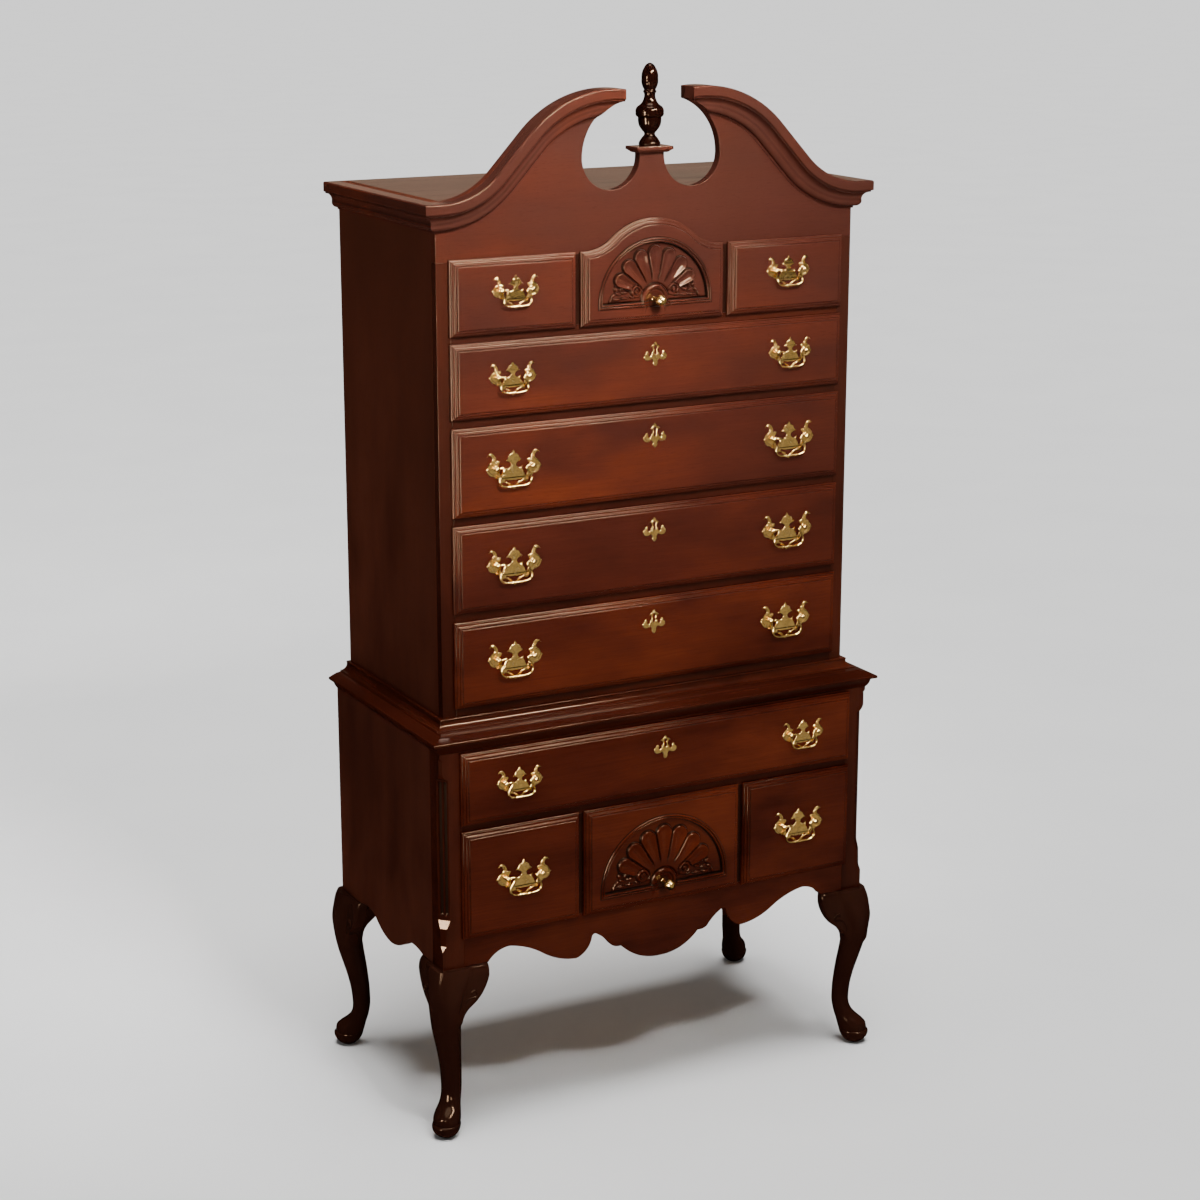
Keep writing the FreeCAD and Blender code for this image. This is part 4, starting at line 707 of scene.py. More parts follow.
def leg_skin():
    """A leg and its two brackets as one skin, measured out from the case corner.  At each
    height the leg is |u/a|^p + |v/b|^p = 1 about a centre on the diagonal; a bracket is a
    thin wedge with walls n . x = d, softened as 1/r^16 = the sum of (n . way / d)^16; the
    skin is the furthest of the three, with a small fillet where two are about as far."""
    z = np.concatenate([np.linspace(0, 32, 22), np.linspace(34, 60, 10), np.linspace(63, 200, 22),
                        np.linspace(204, 355, 58)])
    out_by, a, b, power = (np.interp(z, LEG[:, 0], LEG[:, k]) for k in (1, 2, 3, 4))
    fine_z = np.linspace(60, 355, 200)
    kernel = np.hanning(23) / np.hanning(23).sum()
    blend = smoothed(z, 62, 75)
    for values in (out_by, a, b):
        padded = np.pad(np.interp(fine_z, z, values), 11, mode="edge")
        soft = np.convolve(padded, kernel, "valid")
        values += blend * (np.interp(z, fine_z, soft) - values)
    even = np.linspace(-math.pi, math.pi, 2000)
    crowd = 1 + 5 * sum(bell(even, at, 0.26) for at in (-math.pi / 2, -math.pi, math.pi))
    crowd = np.cumsum(crowd) / crowd.sum()
    angle = np.interp(np.linspace(0, 1, 173)[:-1], crowd, even)
    c, s = np.cos(angle), np.sin(angle)
    a, b, power, up = a[:, None], b[:, None], power[:, None], z[:, None]
    u, v = np.abs(c + s) * diagonal / a, np.abs(s - c) * diagonal / b
    half = (a + b) * 0.43
    square = smoothed(up, 215, 325)
    skin = (1 - square) * (u ** power + v ** power) ** (-1 / power)
    skin = skin + square * half * (np.abs(c) ** power + np.abs(s) ** power) ** (-1 / power)
    middle = (out_by * diagonal)[:, None]
    reach = np.maximum(np.interp(up, BRACKET[:, 0], BRACKET[:, 1]) + middle, 6)
    swell = 11.5 * dome(np.clip(up - 324, 0, 31) / 31.6) - middle
    thin, tip = 0.8 * half, -16 - middle
    slope = np.arctan2(tip + thin, reach)
    fade, fillet = smoothed(up, 205, 245).clip(0.05), 9
    for one, other in ((c, s), (s, c)):
        walls = [(-one, reach), (one, swell), (other, swell),
                 (-one * np.sin(slope) - other * np.cos(slope), thin * np.cos(slope)),
                 (-other, thin)]
        wedge = fade * sum((np.clip(way, 0, 1) / far) ** 16 for way, far in walls) ** (-1 / 16)
        near = np.clip(fillet - np.abs(skin - wedge), 0, fillet) / fillet
        skin = np.maximum(skin, wedge) + near * near * fillet / 4
    return z, middle + skin * c, middle + skin * s


def tube(line, radius, around):
    """Rings of a radius square to a flat line: across, up, and out of the line's plane."""
    tangent = np.gradient(line, axis=0)
    tangent /= np.hypot(tangent[:, 0], tangent[:, 1])[:, None]
    angle = np.linspace(0, 2 * math.pi, around, endpoint=False)
    side = radius * np.cos(angle)
    return (line[:, 0, None] - tangent[:, 1, None] * side,
            line[:, 1, None] + tangent[:, 0, None] * side, radius * np.sin(angle))


def volute(skin):
    """The carved curl on a bracket: a bead of radius r(t) = 3.4 - 2.4 t along a hook-shaped
    line that lies on the skin, half sunk in it."""
    z, out, front = skin
    line = traced((57.5, 298.5), [((60.5, 305.5), (66, 303.5)), ((68.5, 296), (62, 291.5)),
                                  ((50, 289), (43, 280)), ((39, 272), (38, 262))], 9)
    proud = []
    for across, height in line:
        k = int(np.searchsorted(z, height))
        pair = [np.interp(-across, out[i][order][::-1], front[i][order][::-1])
                for i in (k - 1, k)
                for order in [np.nonzero((front[i] > 0) & (out[i] < 0))[0]]]
        share = (height - z[k - 1]) / (z[k] - z[k - 1])
        proud.append(pair[0] + (pair[1] - pair[0]) * share)
    t = np.linspace(0, 1, len(line))[:, None]
    radius = (3.4 - 2.4 * t) * np.sqrt(np.clip(1 - (1 - 8 * t).clip(0) ** 2, 0.01, 1))
    across, up, off = tube(line, radius, 12)
    return up, -across, np.array(proud)[:, None] + off - 0.4


skin = leg_skin()
curl = volute(skin)
leg_parts = []
for sx in (-1, 1):
    for sy, corner_y in ((-1, lower_face), (1, back)):
        for up, out, front in (skin, curl, (curl[0], curl[2], curl[1])):
            leg_parts.append(skinned(sx * (lower_half + out), corner_y + sy * front,
                                     np.reshape(up, (len(out), -1)), 2))
cherry_leg = cherry_finish("cherry_carved", (0.014, 0.0042, 0.0024), (0.022, 0.0066, 0.0038),
                           (0.031, 0.0092, 0.005), (0.0085, 0.0024, 0.0014), 0.08, 0.05)
legs = made("legs", leg_parts, cherry_leg, smooth=48)
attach(legs, "case")
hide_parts("cabriole_legs")

# ---- Drawer fronts ---------------------------------------------------------------------
# Each front is one board with a moulded band worked round a raised field; its lip laps over
# the opening, and a thinner tongue behind it fills the opening.

play, thick, ground = 0.3, 17.0, 11.0   # gap under a lip; heights of field and sunk ground
tongue, hub_up = 6, 45                  # depth of the tongue; the shells' hub over the edge
upper_lip, lower_lip = upper_open + lap, lower_open + lap
small_rows, wide_rows = (small_low - lap, small_high + lap), (wide_low - lap, wide_high + lap)
drawers = {"upper_left": (-upper_lip, lap - upper_mullion[1], *upper_rows[1]),
           "upper_right": (upper_mullion[1] - lap, upper_lip, *upper_rows[1])}
for row in (2, 3, 4, 5):
    drawers[f"upper_row{row}"] = (-upper_lip, upper_lip, *upper_rows[row])
drawers.update({"lower_wide": (-lower_lip, lower_lip, *wide_rows),
                "lower_left": (-lower_lip, lap - lower_mullion[1], *small_rows),
                "lower_right": (lower_mullion[1] - lap, lower_lip, *small_rows)})
steps = [((6, 0),), ((0, 0),), ((0, 4),), ((0.5, 6.4), (2.2, 7.6)), ((3.0, 7.9),), ((3.0, 9.4),),
         ((3.6, 10.6), (5, 10.9)), ((6.6, 11.4), (8.2, 12.6)), ((8.3, 13.6),),
         ((9.2, 15), (10.8, 15.1)), ((12.6, 15.2),), ((13.2, 16.4), (14.2, 17)), ((16, 17),)]
band = traced((tongue, -tongue - play), steps, 5)
inset, proud = band[:, 0], band[:, 1]
# Painted shade: dark lines in the quirks of the moulded band.
band_shade = 0.9 * bell(inset, 3.1, 0.5) * (proud < 9.2) * (proud > 7.4)
band_shade += 0.8 * bell(inset, 8.3, 0.4) * (proud < 13.4) * (proud > 12.4)
band_shade += 0.7 * bell(inset, 12.7, 0.4) * (proud > 15.1)


def face_of(name):
    """The front plane of the case that a drawer is in."""
    return upper_face if name.startswith("upper") else lower_face


def plain_front(x0, x1, z0, z1, face):
    """The band's profile carried round a rectangle, mitred at its corners: a point goes in
    by its inset from both edges and out from the case by its height."""
    corner = np.array([(x0, z0), (x1, z0), (x1, z1), (x0, z1)], float)
    inward = np.array([(1, 1), (-1, 1), (-1, -1), (1, -1)])
    flat = corner + inward * inset[:, None, None]
    return skinned(flat[..., 0], (face - play - proud)[:, None], flat[..., 1], 0,
                   np.repeat(band_shade, 4))


for name, (x0, x1, z0, z1) in drawers.items():
    front = made(name + "_face", [plain_front(x0, x1, z0, z1, face_of(name))], cherry_front,
                 smooth=24, ease=0.35, steps=1)
    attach(front, name + "_drawer")
    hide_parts(name + "_front")

# ---- Carved shell drawers --------------------------------------------------------------
# The two middle drawers: the upper one arched, both carved with a half-round shell of seven
# hollow lobes between scrolls and leaves, sunk inside a beaded frame.


def seen_from(hub, right, corners, angles):
    """The right-hand outline (bottom corner to top middle) where rays from the hub meet it.
    The rays are shifted so that the outline's own corners stay on the same rays."""
    keys = np.array([math.atan2(*(right[k] - hub)[::-1]) for k in (0, 1)])
    shifted = np.interp(angles, corners, [keys[0], keys[1], math.pi / 2])
    dense = closer(right) - hub
    theta = np.arctan2(dense[:, 1], dense[:, 0])
    radius = np.interp(shifted, theta, np.hypot(dense[:, 0], dense[:, 1]))
    return hub + radius[:, None] * np.stack([np.cos(shifted), np.sin(shifted)], 1)


def all_round(right, low, half, below):
    """A closed line: along the bottom from left to right, then up the right-hand line and
    down its mirror image."""
    foot = np.stack([half * below, np.full(len(below), low)], 1)
    return np.concatenate([foot, right, right[-2::-1] * (-1, 1)])


def half_round(half, low, height, inset):
    """Right half of the shell's frame: bottom corner, side and quarter circle."""
    reach, top = half - inset, low + height - inset
    angle = np.linspace(0, math.pi / 2, 60)
    curve = np.stack([reach * np.cos(angle), top - reach + reach * np.sin(angle)], 1)
    return np.concatenate([[[reach, low + inset]], curve])


# leaves: middle across and up, half length, half width, tilt in degrees, height
LEAVES = [(59, 25, 6.5, 3.2, 150, 4.2), (66, 16, 6, 3.0, 170, 4.0), (74, 24, 6, 3.2, 120, 4.6),
          (80, 14, 5.5, 2.8, 200, 3.8), (86, 23, 5.2, 3.8, 80, 4.8), (91, 12, 5.5, 2.8, 140, 4.0),
          (97, 4, 6.5, 2.6, 115, 4.2), (83, 4, 7.5, 2.6, 175, 3.6), (66, 5, 7.5, 2.6, 185, 3.6),
          (50, 6, 5.5, 2.4, 200, 3.2)]


def carving(x, z, size):
    """Height above the sunk ground, hub at (0, 0), and the painted shade: darkening in the gaps
    between lobes, round the scroll, leaves and boss, and in the hub.  A lobe is a cone with
    a round tip: its rim rises at the edge and a hollow, deepest near the tip, lies between;
    the scroll is a ridge round a circle, a leaf a small dome, the boss a ring on two legs."""
    x, z = np.abs(x) / size, z / size
    r, theta = np.hypot(x, z), np.arctan2(z, x)
    height, edge = np.zeros_like(r), np.full_like(r, -9.0)
    for k in range(4):
        lean = theta - math.radians(90 - 20.6 * k)
        tip = 104.0 - 1.5 * k
        round_end = 0.148 * tip
        u, v = r * np.cos(lean), r * np.sin(lean)
        cone = r * np.sin(math.radians(9.9) - np.abs(lean))
        end = round_end - np.hypot(u - (tip - round_end), v)
        inside = np.where(u < tip - round_end, np.maximum(cone, end), end)
        inside = np.where(u > 0, inside, -9)
        wide = np.minimum(0.172 * u, round_end) + 1e-3
        rim = 6.6 * dome(1 - np.clip(inside / 2.6, 0, 1))
        into = np.clip((inside - 2.4) / (wide - 2.4).clip(0.5), 0, 1)
        deep_at = 1.4 + 4.4 * smoothed(u, 42, 90)
        lobe_height = rim - deep_at * np.sin(into * math.pi / 2) ** 1.2
        lobe_height += 0.5 * bell(v, 0, 1.1) * smoothed(u, 45, 70) * (inside > 3)
        better = inside > edge
        height = np.where(better & (inside > 0), lobe_height, height)
        edge = np.maximum(edge, inside)
    # Painted shade: dark along the gaps between the lobes.
    painted_shade = bell(edge, -0.4, 1.4) * smoothed(r, 30, 46)
    merge = 1 - smoothed(r, 34, 54)
    height = height * (1 - merge) + (3.6 + 0.02 * r) * merge * smoothed(z, 3, 12)
    low_corner = 1 - smoothed(theta, math.radians(17), math.radians(21))
    height = height * (1 - low_corner * smoothed(r, 30, 38))
    curl_x, curl_z = x - 41, z - 17
    rho, spin = np.hypot(curl_x, curl_z), np.arctan2(curl_z, curl_x)
    curl = 6.6 * np.exp(-((rho - 9.2) / 2.7) ** 4) * smoothed(spin, -1.2, -0.7)
    curl = np.maximum(curl, 5.6 * np.exp(-((rho - 2.2) / 3.4) ** 4) * (spin > -2.2))
    pad = 1.6 * (1 - smoothed(rho, 11, 13.5))
    scroll = np.maximum(curl, pad)
    on_scroll = 1 - smoothed(rho, 12.2, 13.4)
    painted_shade = np.maximum(painted_shade * (1 - on_scroll), 0.9 * bell(rho, 5.6, 1))
    painted_shade = np.maximum(painted_shade, 0.8 * bell(rho, 13.2, 1) * (z > 4))
    height = height * (1 - on_scroll) + scroll * on_scroll
    for cx, cz, a, b, tilt, tall in LEAVES:
        c, s = math.cos(math.radians(tilt)), math.sin(math.radians(tilt))
        du, dv = (x - cx) * c + (z - cz) * s, -(x - cx) * s + (z - cz) * c
        q = (du / a) ** 2 + (dv / b) ** 2
        height = np.maximum(height, 1.25 * tall * np.sqrt(np.clip(1 - q, 0, 1)))
        painted_shade = np.maximum(painted_shade, 0.7 * bell(np.sqrt(q), 1.1, 0.9 / b) * (height < 1.2))
    x, z = x * size, z * size
    ring_r = np.where(z > 0, np.hypot(x, z), x)
    boss = 3.4 + 4.1 * dome((ring_r - 24.3) / 4.4)
    boss = np.where(ring_r < 20, 4.4 - 3.6 * smoothed(18.5 - ring_r, 0, 7), boss)
    on_boss = 1 - smoothed(ring_r, 28.6, 29.6)
    height = height * (1 - 0.9 * bell(ring_r, 31, 1.6) * (z > -4))
    painted_shade = np.maximum(painted_shade * (1 - on_boss), 0.9 * bell(ring_r, 30.2, 1.3))
    painted_shade = np.maximum(painted_shade, 0.75 * bell(ring_r, 19.6, 0.9))
    # Painted shade in the hub round the knob.
    painted_shade = np.maximum(painted_shade, 0.6 * (1 - smoothed(ring_r, 9, 17)))
    return height, boss, on_boss, np.clip(painted_shade, 0, 1)


# the shell's frame: inset from its line, height over the field, painted shade
FRAME_BEAD = [(-2.2, 0, 0), (-1.2, 0, 0.85), (0, 0, 1), (0.2, 1.2, 0.6), (0.8, 2.4, 0),
              (1.6, 3.0, 0), (2.4, 3.1, 0), (3.1, 2.7, 0), (3.5, 1.7, 0.5), (3.8, 0.2, 1),
              (4.9, 0.2, 1), (5.2, 1.5, 0.5), (5.8, 2.4, 0), (6.8, 2.7, 0), (7.6, 2.3, 0),
              (8.2, 1.4, 0), (8.6, 0, 0.4), (8.8, -3, 1), (9.0, -5.9, 1), (10.4, -6.0, 1),
              (12, -6.0, 0.2)]


def shell_front(half, z0, z1, face, shell_half, shell_height, arch):
    """Rings of points from the tongue over the moulded band and the field to the shell's
    frame, then rings that shrink to the hub and follow the carving's heights."""
    hub, base = np.array([0, z0 + hub_up]), z0 + 32.0
    below = np.linspace(-1, 1, 122)[1:-1]

    def front_line(wide):
        if arch:
            return arch_outline(half, z0, z1, wide)
        return np.array([(half - wide, z0 + wide), (half - wide, z1 - wide), (0, z1 - wide)])

    def frame_line(wide):
        return half_round(shell_half, base, shell_height, wide)

    first, corner = (math.atan2(*(point - hub)[::-1])
                     for point in (frame_line(0)[0], front_line(0)[1]))
    angles = np.linspace(first, math.pi / 2, 262)
    band_rows = list(zip(inset, proud, band_shade))
    rows, heights, shades = [], [], []
    for table, line, keep, low, wide_half, floor in (
            (band_rows, front_line, corner, z0, half, 0),
            (FRAME_BEAD, frame_line, 0, base, shell_half, thick)):
        for wide, high, dark in table:
            right = seen_from(hub, line(wide), [first, keep, math.pi / 2], angles)
            rows.append(all_round(right, low + wide, wide_half - wide, below))
            heights.append(floor + high)
            shades.append(dark)
    rim = rows[-1]
    for share in np.linspace(1, 0, 100)[1:-1]:
        rows.append(hub + (rim - hub) * share)
        heights.append(ground)
        shades.append(0)
    flat, start = np.stack(rows), len(inset)
    height, shade = (np.tile(np.array(values, float)[:, None], len(rim))
                     for values in (heights, shades))
    cut, boss, on_boss, painted_shade = carving(flat[start:, :, 0], flat[start:, :, 1] - hub[1],
                                        shell_height / 132)
    inner = np.arange(len(cut))[:, None] >= len(FRAME_BEAD)
    sunk = np.where(inner, height[start:] + cut, height[start:])
    height[start:] = sunk * (1 - on_boss) + (ground + boss) * on_boss
    height[start] = thick
    # Painted shade: the rings darken in the band's quirks, the frame's grooves and the carving.
    shade[start:] = np.where(inner, painted_shade, np.maximum(shade[start:], painted_shade * on_boss))
    return skinned(flat[..., 0], face - play - height, flat[..., 1], 0, shade)


shells = {"upper_shell": (upper_mullion[0] + lap, *upper_rows[1], upper_face, 124.5, 132, True),
          "lower_shell": (lower_mullion[0] + lap, *small_rows, lower_face, 146, 156, False)}
for name, sizes in shells.items():
    front = made(name + "_face", [shell_front(*sizes)], cherry_front, smooth=50)
    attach(front, name + "_drawer")
    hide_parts(name + "_front")

# ---- Drawer boxes ----------------------------------------------------------------------
# Behind each front: two sides, a back and a thin bottom of pale wood; the bottom is let into
# the sides and runs under the back.

wall, let_in, under = 12, 1, 9          # thickness, depth of the grooves, height of the bottom
spans = dict(drawers)
spans.update({name: (-sizes[0], sizes[0], *sizes[1:3]) for name, sizes in shells.items()})
for name, (x0, x1, z0, z1) in spans.items():
    y0, y1 = face_of(name) + tongue, back - 22
    left, right, low, high = x0 + tongue, x1 - tongue, z0 + lap + play, z1 - 13
    bottom = low + under + 6
    box = made(name + "_tray", [
        board((left, left + wall), (y0, y1), (low, high), 1),
        board((right - wall, right), (y0, y1), (low, high), 1),
        board((left + wall, right - wall), (y1 - wall, y1), (bottom, high), 0),
        board((left + wall - let_in, right - wall + let_in), (y0, y1), (low + under, bottom),
              0)], drawer_wood, ease=0.8)
    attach(box, name + "_drawer")
    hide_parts(name + "_box")

# ---- Brass plates, posts and escutcheons -----------------------------------------------
# Cast willow plates with bevelled edges, held by two posts whose nuts sit inside the drawer;
# the keyhole plates in the middle of the wide drawers are of the same pattern.


def brass_finish(name, deep, bright, rough):
    """Lacquered antique brass: cloudy patina, darker where 'shade' says, fine cast marks."""
    material, shader, mix = new_finish(name)
    place, shade = mix.place(), mix.told("shade")
    cloud = mix.noise(place, (60.0, 60.0, 60.0), 3.0, 0.6).held(0.35, 0.7)
    speck = mix.noise(place, (420.0, 420.0, 420.0), 2.0).held(0.4, 0.7)
    dull = (0.45 * cloud + 0.25 * speck + shade * 0.8).held(0.0, 1.0)
    join(shader, mix.blend(bright, deep, dull), rough + 0.18 * cloud + 0.2 * shade,
         cloud + speck * 0.4, 0.15, 0.0008)
    shader.inputs["Metallic"].default_value = 1.0
    return material


brass = brass_finish("brass_antique", (0.24, 0.125, 0.03), (0.64, 0.4, 0.12), 0.15)
PLATE = [((2.6, 28.2), (4, 24.6)), ((8.2, 23.8), (11, 20.2)), ((13.4, 15.6), (17.6, 12.2)),
         ((12, 10.8), (7.2, 8.4)), ((5.2, 3), (8.6, -1.4)), ((13.5, -3), (18.4, 0.4)),
         ((17.8, -5), (20.6, -10.6)), ((22.6, -15.6), (25.2, -20.6)), ((29.5, -13), (30, -4)),
         ((31.5, 1), (36, 3.6)), ((33.4, 4.4), (30.6, 7.6)), ((29.6, 9.4), (28.8, 11.8)),
         ((33.5, 13.4), (38, 13.6)), ((37.4, 18.6), (39.6, 23.4)), ((46.5, 29.2), (55.2, 23)),
         ((50.5, 25), (46.2, 21.2)), ((44.9, 17), (47.6, 12.6)), ((54, 6.6), (57, -0.6)),
         ((59, -1.2), (60, -2.4)), ((57, -4.4), (56.4, -7)), ((51, -14), (43, -16.4)),
         ((40.6, -18), (39.6, -20)), ((33, -22), (30.5, -27.5)), ((26.6, -31), (22, -29.5)),
         ((15, -32), (9.5, -37)), ((5.5, -40.5), (0, -44.5))]
PIERCING = [((9, -26.3), (17, -24.3)), ((18.5, -26.5), (15.5, -28.5)),
            ((9.5, -30.5), (6, -33.5)), ((3.4, -36), (0, -38))]
KEY_PLATE = [((2.4, 21), (3.2, 18.6)), ((6.2, 17.2), (10.8, 13.4)), ((7.2, 12.4), (5.4, 9.4)),
             ((4.9, 6.5), (5.6, 4)), ((7, 2.6), (9.2, 1.6)), ((8, -1), (9.6, -3.4)),
             ((13, -4.4), (16.2, -1.8)), ((15.2, 2), (17.2, 4.8)), ((20.4, 4.2), (20.4, 0.6)),
             ((24.4, -1.6), (25.2, -6)), ((22.6, -11), (17.5, -12.6)), ((12, -11.8), (9, -9.8)),
             ((5.6, -12.5), (5.0, -18)), ((3.4, -22.2), (0, -25))]
KEYHOLE = [((3.0, 13.6), (2.8, 10.4)), ((2.3, 6), (2.8, 0.6)), ((1.6, -1.2), (0, -1.6))]
# a plate's bevel: inset and height
EDGE = np.array([(0, 0), (0, 0.7), (0.12, 1.1), (0.38, 1.42), (0.7, 1.58), (0.95, 1.6)])


def inset_ring(line, distance):
    """A closed line moved to its left: each point along the mean of its two edges' normals,
    divided by the cosine of half the turn, and never more than 1.5 distances."""
    edge = np.roll(line, -1, axis=0) - line
    edge /= np.hypot(edge[:, 0], edge[:, 1])[:, None] + 1e-9
    normal = np.stack([-edge[:, 1], edge[:, 0]], 1)
    before = np.roll(normal, 1, axis=0)
    mean = (normal + before) / (1 + np.einsum("ij,ij->i", normal, before))[:, None].clip(0.3)
    length = np.hypot(mean[:, 0], mean[:, 1])[:, None] + 1e-9
    return line + mean * np.minimum(1, 1.5 / length) * distance


def pierced_plate(outer, hole, x, y, z, ratio):
    """A flat plate with an opening: bevelled walls round both lines, and a front and a back
    made of the triangles that fill the space between the two lines."""
    rims = []
    for steps, start in (outer, hole):
        right = traced(start, steps, 5) * ratio
        rims.append(np.concatenate([right[::-1], right[1:-1] * (-1, 1)]))
    points, faces, backs, fronts, first = [], [], [], [], 0
    for line, way in zip(rims, (1, -1)):
        grid = np.stack([inset_ring(line, way * wide) for wide in EDGE[:, 0]])
        spots, (walls, low_rim, high_rim), *_ = skinned(x + grid[..., 0], y - EDGE[:, 1:],
                                                        z + grid[..., 1])
        points.append(spots)
        faces.append(first + walls[:, ::way])
        backs.append(first + low_rim[::-1])
        fronts.append(first + high_rim)
        first += len(spots)
    flat = [[Vector((*spot, 0)) for spot in line] for line in rims]
    filled = np.array(tessellate_polygon(flat))
    corner = np.concatenate(rims)[filled]
    left = (corner[:, 1, 0] - corner[:, 0, 0]) * (corner[:, 2, 1] - corner[:, 0, 1])
    left -= (corner[:, 1, 1] - corner[:, 0, 1]) * (corner[:, 2, 0] - corner[:, 0, 0])
    filled[left < 0] = filled[left < 0, ::-1]
    faces += [np.concatenate(fronts)[filled], np.concatenate(backs)[filled[:, ::-1]]]
    points = np.concatenate(points)
    shade = [np.repeat(0.5 - 0.35 * EDGE[:, 1], len(line)) for line in rims]
    return points, faces, points, np.concatenate(shade)


def turned_out(profile, x, y, z, around=20):
    """A brass profile (radius, distance out) turned about an axis out of the front."""
    across, up, out = turned(profile, around)
    return skinned(x + across, y - out, z + up)


def rib(line, radius, x, y, z, ratio):
    """A raised bead on a plate: rings of a radius that swells as the square root of
    t * (1 - t) along the line, half sunk in the plate."""
    t = np.linspace(0, 1, len(line))[:, None]
    size = radius * (0.25 + 1.5 * np.sqrt(np.clip(t * (1 - t), 0, 1)))
    across, up, off = tube(line * ratio, size, 8)
    return skinned(x + across, y - off, z + up, None, 0.1)


RIBS = [(traced((50.5, 24.4), [((45.4, 25.4), (42.4, 20.8)), ((42.6, 15), (48, 9.4)),
                               ((54.4, 2), (51.6, -6.8)), ((46.5, -11.6), (38, -14.4))], 7), 0.8),
        (traced((32, 11), [((36.5, 10.4), (41.5, 11.2))], 6), 0.6)]
POST = traced((0.05, 0), [((5.2, 0),), ((5.4, 0.6), (5.0, 1.1)), ((3.1, 1.7), (2.6, 3.2)),
                          ((3.0, 4.0),), ((4.9, 8), (3.2, 11.4)), ((1.8, 12.4), (0.05, 12.7))], 5)
BOLT = np.array([(0.05, -4.6), (2.3, -4.5), (2.4, -0.2), (2.4, 0), (0.05, 0)])
NUT = np.array([(0.05, -4), (5.4, -4), (6, -3.4), (6, -0.6), (5.4, 0), (0.05, 0)])
half_bore, plate_high = 38, 1.6        # of a pull's posts; a plate's thickness
pulls = {}
for name, (x0, x1, z0, z1) in drawers.items():
    small = name in ("upper_left", "upper_right", "upper_row2", "lower_wide")
    ratio = 64 / 76 if small else 1.0
    middle = (z0 + z1) / 2 + (12 if name in ("upper_left", "upper_right") else 6.5)
    if x0 < 0 < x1:
        from_edge = 124.5 if name.startswith("upper") else 121.5
        pulls[name] = {"_left": (x0 + from_edge, middle, ratio),
                       "_right": (x1 - from_edge, middle, ratio)}
    else:
        pulls[name] = {"": ((x0 + x1) / 2, middle, ratio)}
for name, places in pulls.items():
    field, inside = face_of(name) - play - thick, face_of(name) + tongue
    parts = []
    for x, z, ratio in places.values():
        parts.append(pierced_plate((PLATE, (0, 32.4)), (PIERCING, (0, -26)), x, field, z, ratio))
        for s in (-1, 1):
            post_x = x + s * half_bore * ratio
            parts.append(turned_out(POST, post_x, field - plate_high, z))
            for line, radius in RIBS:
                parts.append(rib(line * (s, 1), radius, x, field - 1.4, z, ratio))
            parts.append(turned_out(NUT, post_x, inside, z, 6))
            parts.append(turned_out(BOLT, post_x, inside, z, 12))
    if len(places) == 2:
        key_z = drawers[name][3] - 48
        parts.append(pierced_plate((KEY_PLATE, (0, 24)), (KEYHOLE, (0, 15.6)), 0, field, key_z,
                                   1))
    plates = made(name + "_brasses", parts, brass, smooth=42)
    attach(plates, name + "_drawer")
    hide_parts(name + "_hardware")

# ---- Swinging handles ------------------------------------------------------------------
# Cast swan-necked bails that hang from pins through the two posts; the grip is thickest in
# its middle.

BAIL = np.array([(38, 0), (36, 0), (32, 0), (27.5, 1), (23.2, -0.5), (24.6, -7.5), (30.5, -14.5),
                 (34.4, -22.5), (33.5, -31.5), (24, -36.8), (12, -37.2), (0, -37.2)])
pin_out = 26.9                          # of the pins, before the face of the case


def eased(line, count):
    """A cubic B-spline through the middle of its control points: in each span the four
    nearest points are weighed by (1-t)^3, 3t^3-6t^2+4, -3t^3+3t^2+3t+1 and t^3, over 6."""
    line = np.concatenate([line[:1], line[:1], line, line[-1:], line[-1:]])
    t = np.linspace(0, len(line) - 3 - 1e-6, count)
    k, f = t.astype(int), (t % 1)[:, None]
    return ((1 - f) ** 3 * line[k] + (3 * f ** 3 - 6 * f ** 2 + 4) * line[k + 1]
            + (-3 * f ** 3 + 3 * f ** 2 + 3 * f + 1) * line[k + 2] + f ** 3 * line[k + 3]) / 6


def bail(x, y, z, ratio):
    """A round bar along the eased line: rings of radius r(s) square to the line, r swelling
    as a hump in the middle of the grip and a little at each bend."""
    line = eased(np.concatenate([BAIL, BAIL[-2::-1] * (-1, 1)]), 96) * ratio
    across = np.abs(line[:, 0]) / ratio
    low = line[:, 1] / ratio < -30
    radius = 1.9 + 0.55 * low * bell(across, 0, 13) + 0.35 * bell(across, 24, 3)
    radius *= 0.5 + 0.5 * ratio
    across, up, off = tube(line, radius[:, None], 12)
    return skinned(x + across, y + off, z + up)


for name, places in pulls.items():
    for label, (x, z, ratio) in places.items():
        node = name + "_bail" + label
        handle = made(node + "_grip", [bail(x, face_of(name) - pin_out, z, ratio)], brass,
                      smooth=60)
        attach(handle, node)
        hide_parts(node)

# ---- Knobs -----------------------------------------------------------------------------
# A small turned brass knob on a round foot in the hub of each shell, screwed from behind.

KNOB = traced((0.05, 0), [((4.8, 0),), ((5.2, 0.6), (4.8, 1.2)), ((4.2, 2.2), (3.8, 4.6)),
                          ((3.6, 9),), ((3.9, 12), (5.6, 14.2)), ((10.6, 20.4), (8.4, 27)),
                          ((4.8, 29.8), (0.05, 30.4))], 9) * (1, 38.5 / 30.4)
for name, sizes in shells.items():
    face, z = sizes[3], sizes[1] + hub_up
    knob = made(name + "_pull", [turned_out(KNOB, 0, face - play - ground, z, 32),
                                 turned_out(BOLT, 0, face + tongue, z, 12),
                                 turned_out(NUT, 0, face + tongue, z, 6)], brass, smooth=40)
    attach(knob, name + "_drawer")
    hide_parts(name + "_knob")

# ---- Floor, light and camera -----------------------------------------------------------
# A wide pale floor under an even pale sky, one large soft light high overhead and a small
# one on the pediment.  Panels beside the chest light no surface: they only show in gloss, as
# the bright lines along polished edges.

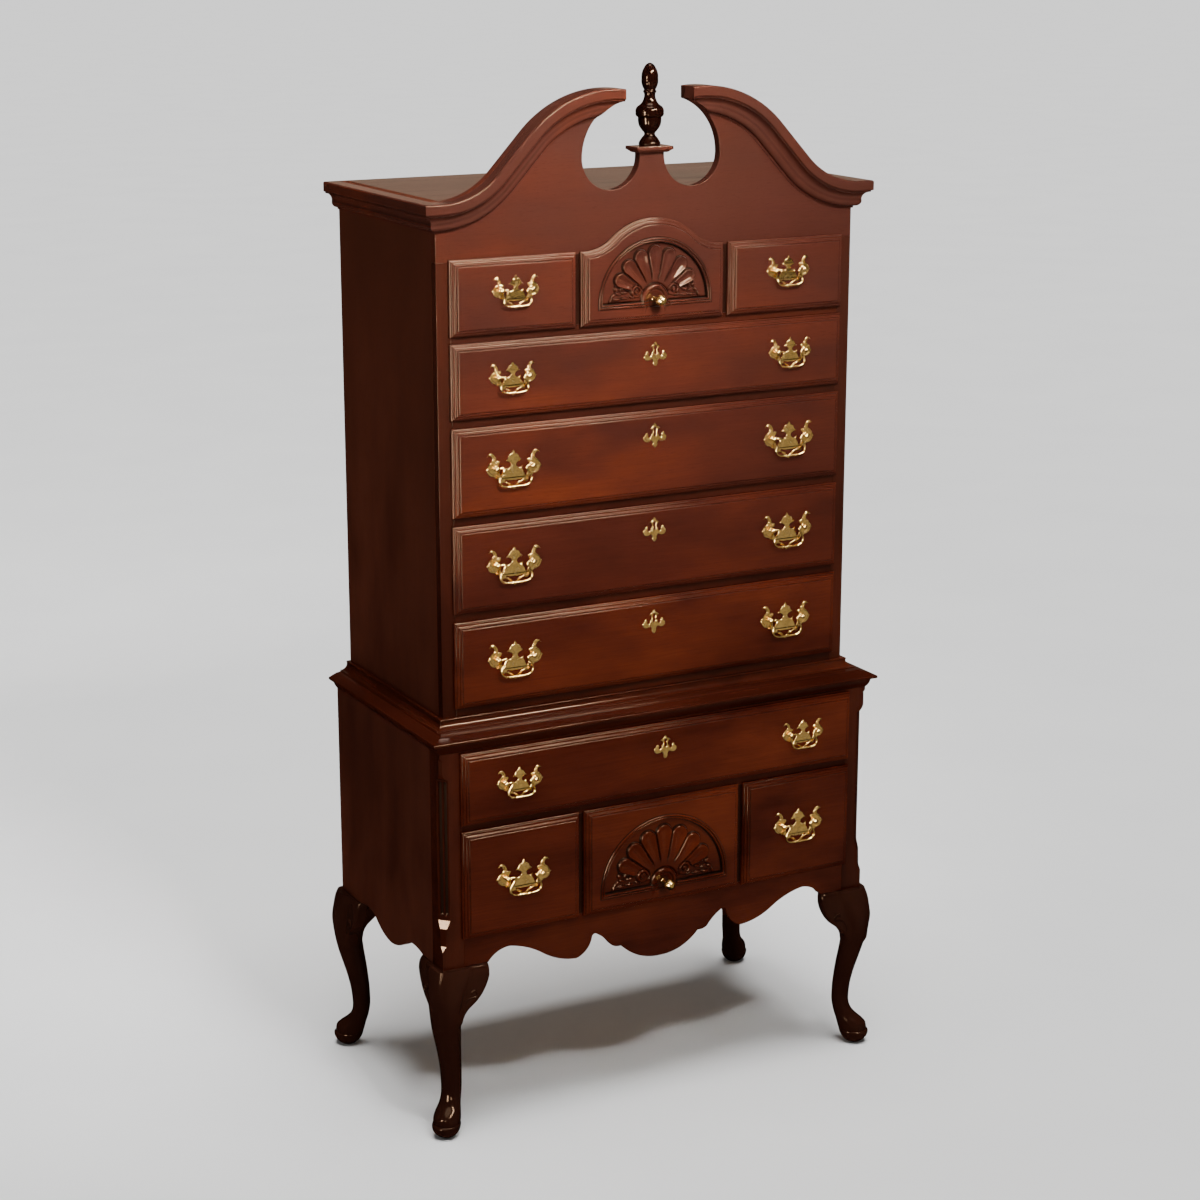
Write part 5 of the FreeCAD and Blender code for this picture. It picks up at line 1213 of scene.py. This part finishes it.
disc = np.array([(radius, 0) for radius in (0.01, 1.5, 4, 12, 40, 160)])
spots, (ground_rings, centre, _), *_ = skinned(*turned(disc, 48))
mesh = bpy.data.meshes.new("studio_floor")
mesh.from_pydata(spots, [], [*ground_rings.tolist(), centre[::-1].tolist()])
floor = bpy.data.objects.new("studio_floor", mesh)
bpy.context.scene.collection.objects.link(floor)
paper, shader, mix = new_finish("pale_paper")
fleck = mix.noise(mix.place(), (2.0, 2.0, 2.0), 3.0).held(0.3, 0.7)
tint = mix.blend((0.86, 0.86, 0.86), (0.89, 0.89, 0.885), fleck)
tint.tree.links.new(tint.socket, shader.inputs["Base Color"])
shader.inputs["Roughness"].default_value = 1.0
shader.inputs["Specular IOR Level"].default_value = 0.0
mesh.materials.append(paper)
floor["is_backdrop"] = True
floor.visible_glossy = False

world = bpy.data.worlds.new("studio")
world.use_nodes = True
sky = world.node_tree.nodes["Background"].inputs
sky["Color"].default_value = (1, 1, 1, 1)
sky["Strength"].default_value = 0.12
world.cycles_visibility.glossy = False
bpy.context.scene.world = world


def lamp(name, kind, place, toward, strength, size, beam=180, glint=False):
    """A soft light at a place, pointed at a spot: a sun of an angular width in degrees, or a
    panel of a width and a height in metres whose beam opens to an angle.  A glint panel only
    shows in gloss, as a polished edge would catch it."""
    light = bpy.data.lights.new(name, kind)
    light.energy = strength
    if kind == "SUN":
        light.angle = math.radians(size)
    else:
        light.shape, light.size, light.size_y = "RECTANGLE", size[0], size[1]
        light.spread = math.radians(beam)
    holder = bpy.data.objects.new(name, light)
    bpy.context.scene.collection.objects.link(holder)
    holder.location = place
    aim = Vector(toward) - Vector(place)
    holder.rotation_euler = aim.to_track_quat("-Z", "Y").to_euler()
    holder.visible_diffuse = not glint
    holder.visible_camera = False


lamp("overhead", "SUN", (0, -0.6, 6), (0, 0, 0), 4.0, 35)
lamp("key", "AREA", (-0.1, -2.3, 3.3), (-0.2, -0.2, 2.0), 27, (0.7, 0.5), 60)
lamp("front_glint", "AREA", (0.9, -2.4, 3.7), (0, -0.2, 1.5), 480, (1.4, 0.24), 180, True)
lamp("side_glint", "AREA", (-2.5, -1.15, 1.3), (-0.49, -0.25, 1.0), 330, (0.34, 1.5), 180, True)
lamp("low_glint", "AREA", (-1.5, -1.95, 1.05), (-0.4, -0.2, 1.5), 50, (0.26, 0.7), 180, True)
lamp("low_panel", "AREA", (0.9, -2.2, 0.35), (0, -0.25, 1.2), 9, (2.6, 2.2), 180, True)
lamp("back_glint", "AREA", (1.8, 3.4, 2.3), (0, 0, 1.85), 2.4, (3.2, 0.6), 180, True)
bpy.data.lights["back_glint"].color = (1, 0.74, 0.54)

lens = bpy.data.cameras.new("viewpoint")
lens.sensor_width, lens.lens = 36.0, 78.07
lens.clip_end = 400
camera = bpy.data.objects.new("viewpoint", lens)
bpy.context.scene.collection.objects.link(camera)
camera.location = (-2.4488, -4.5803, 2.3729)
camera.rotation_euler = (math.radians(90 - 14.9), 0, math.radians(-28.04))
bpy.context.scene.camera = camera

low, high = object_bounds()
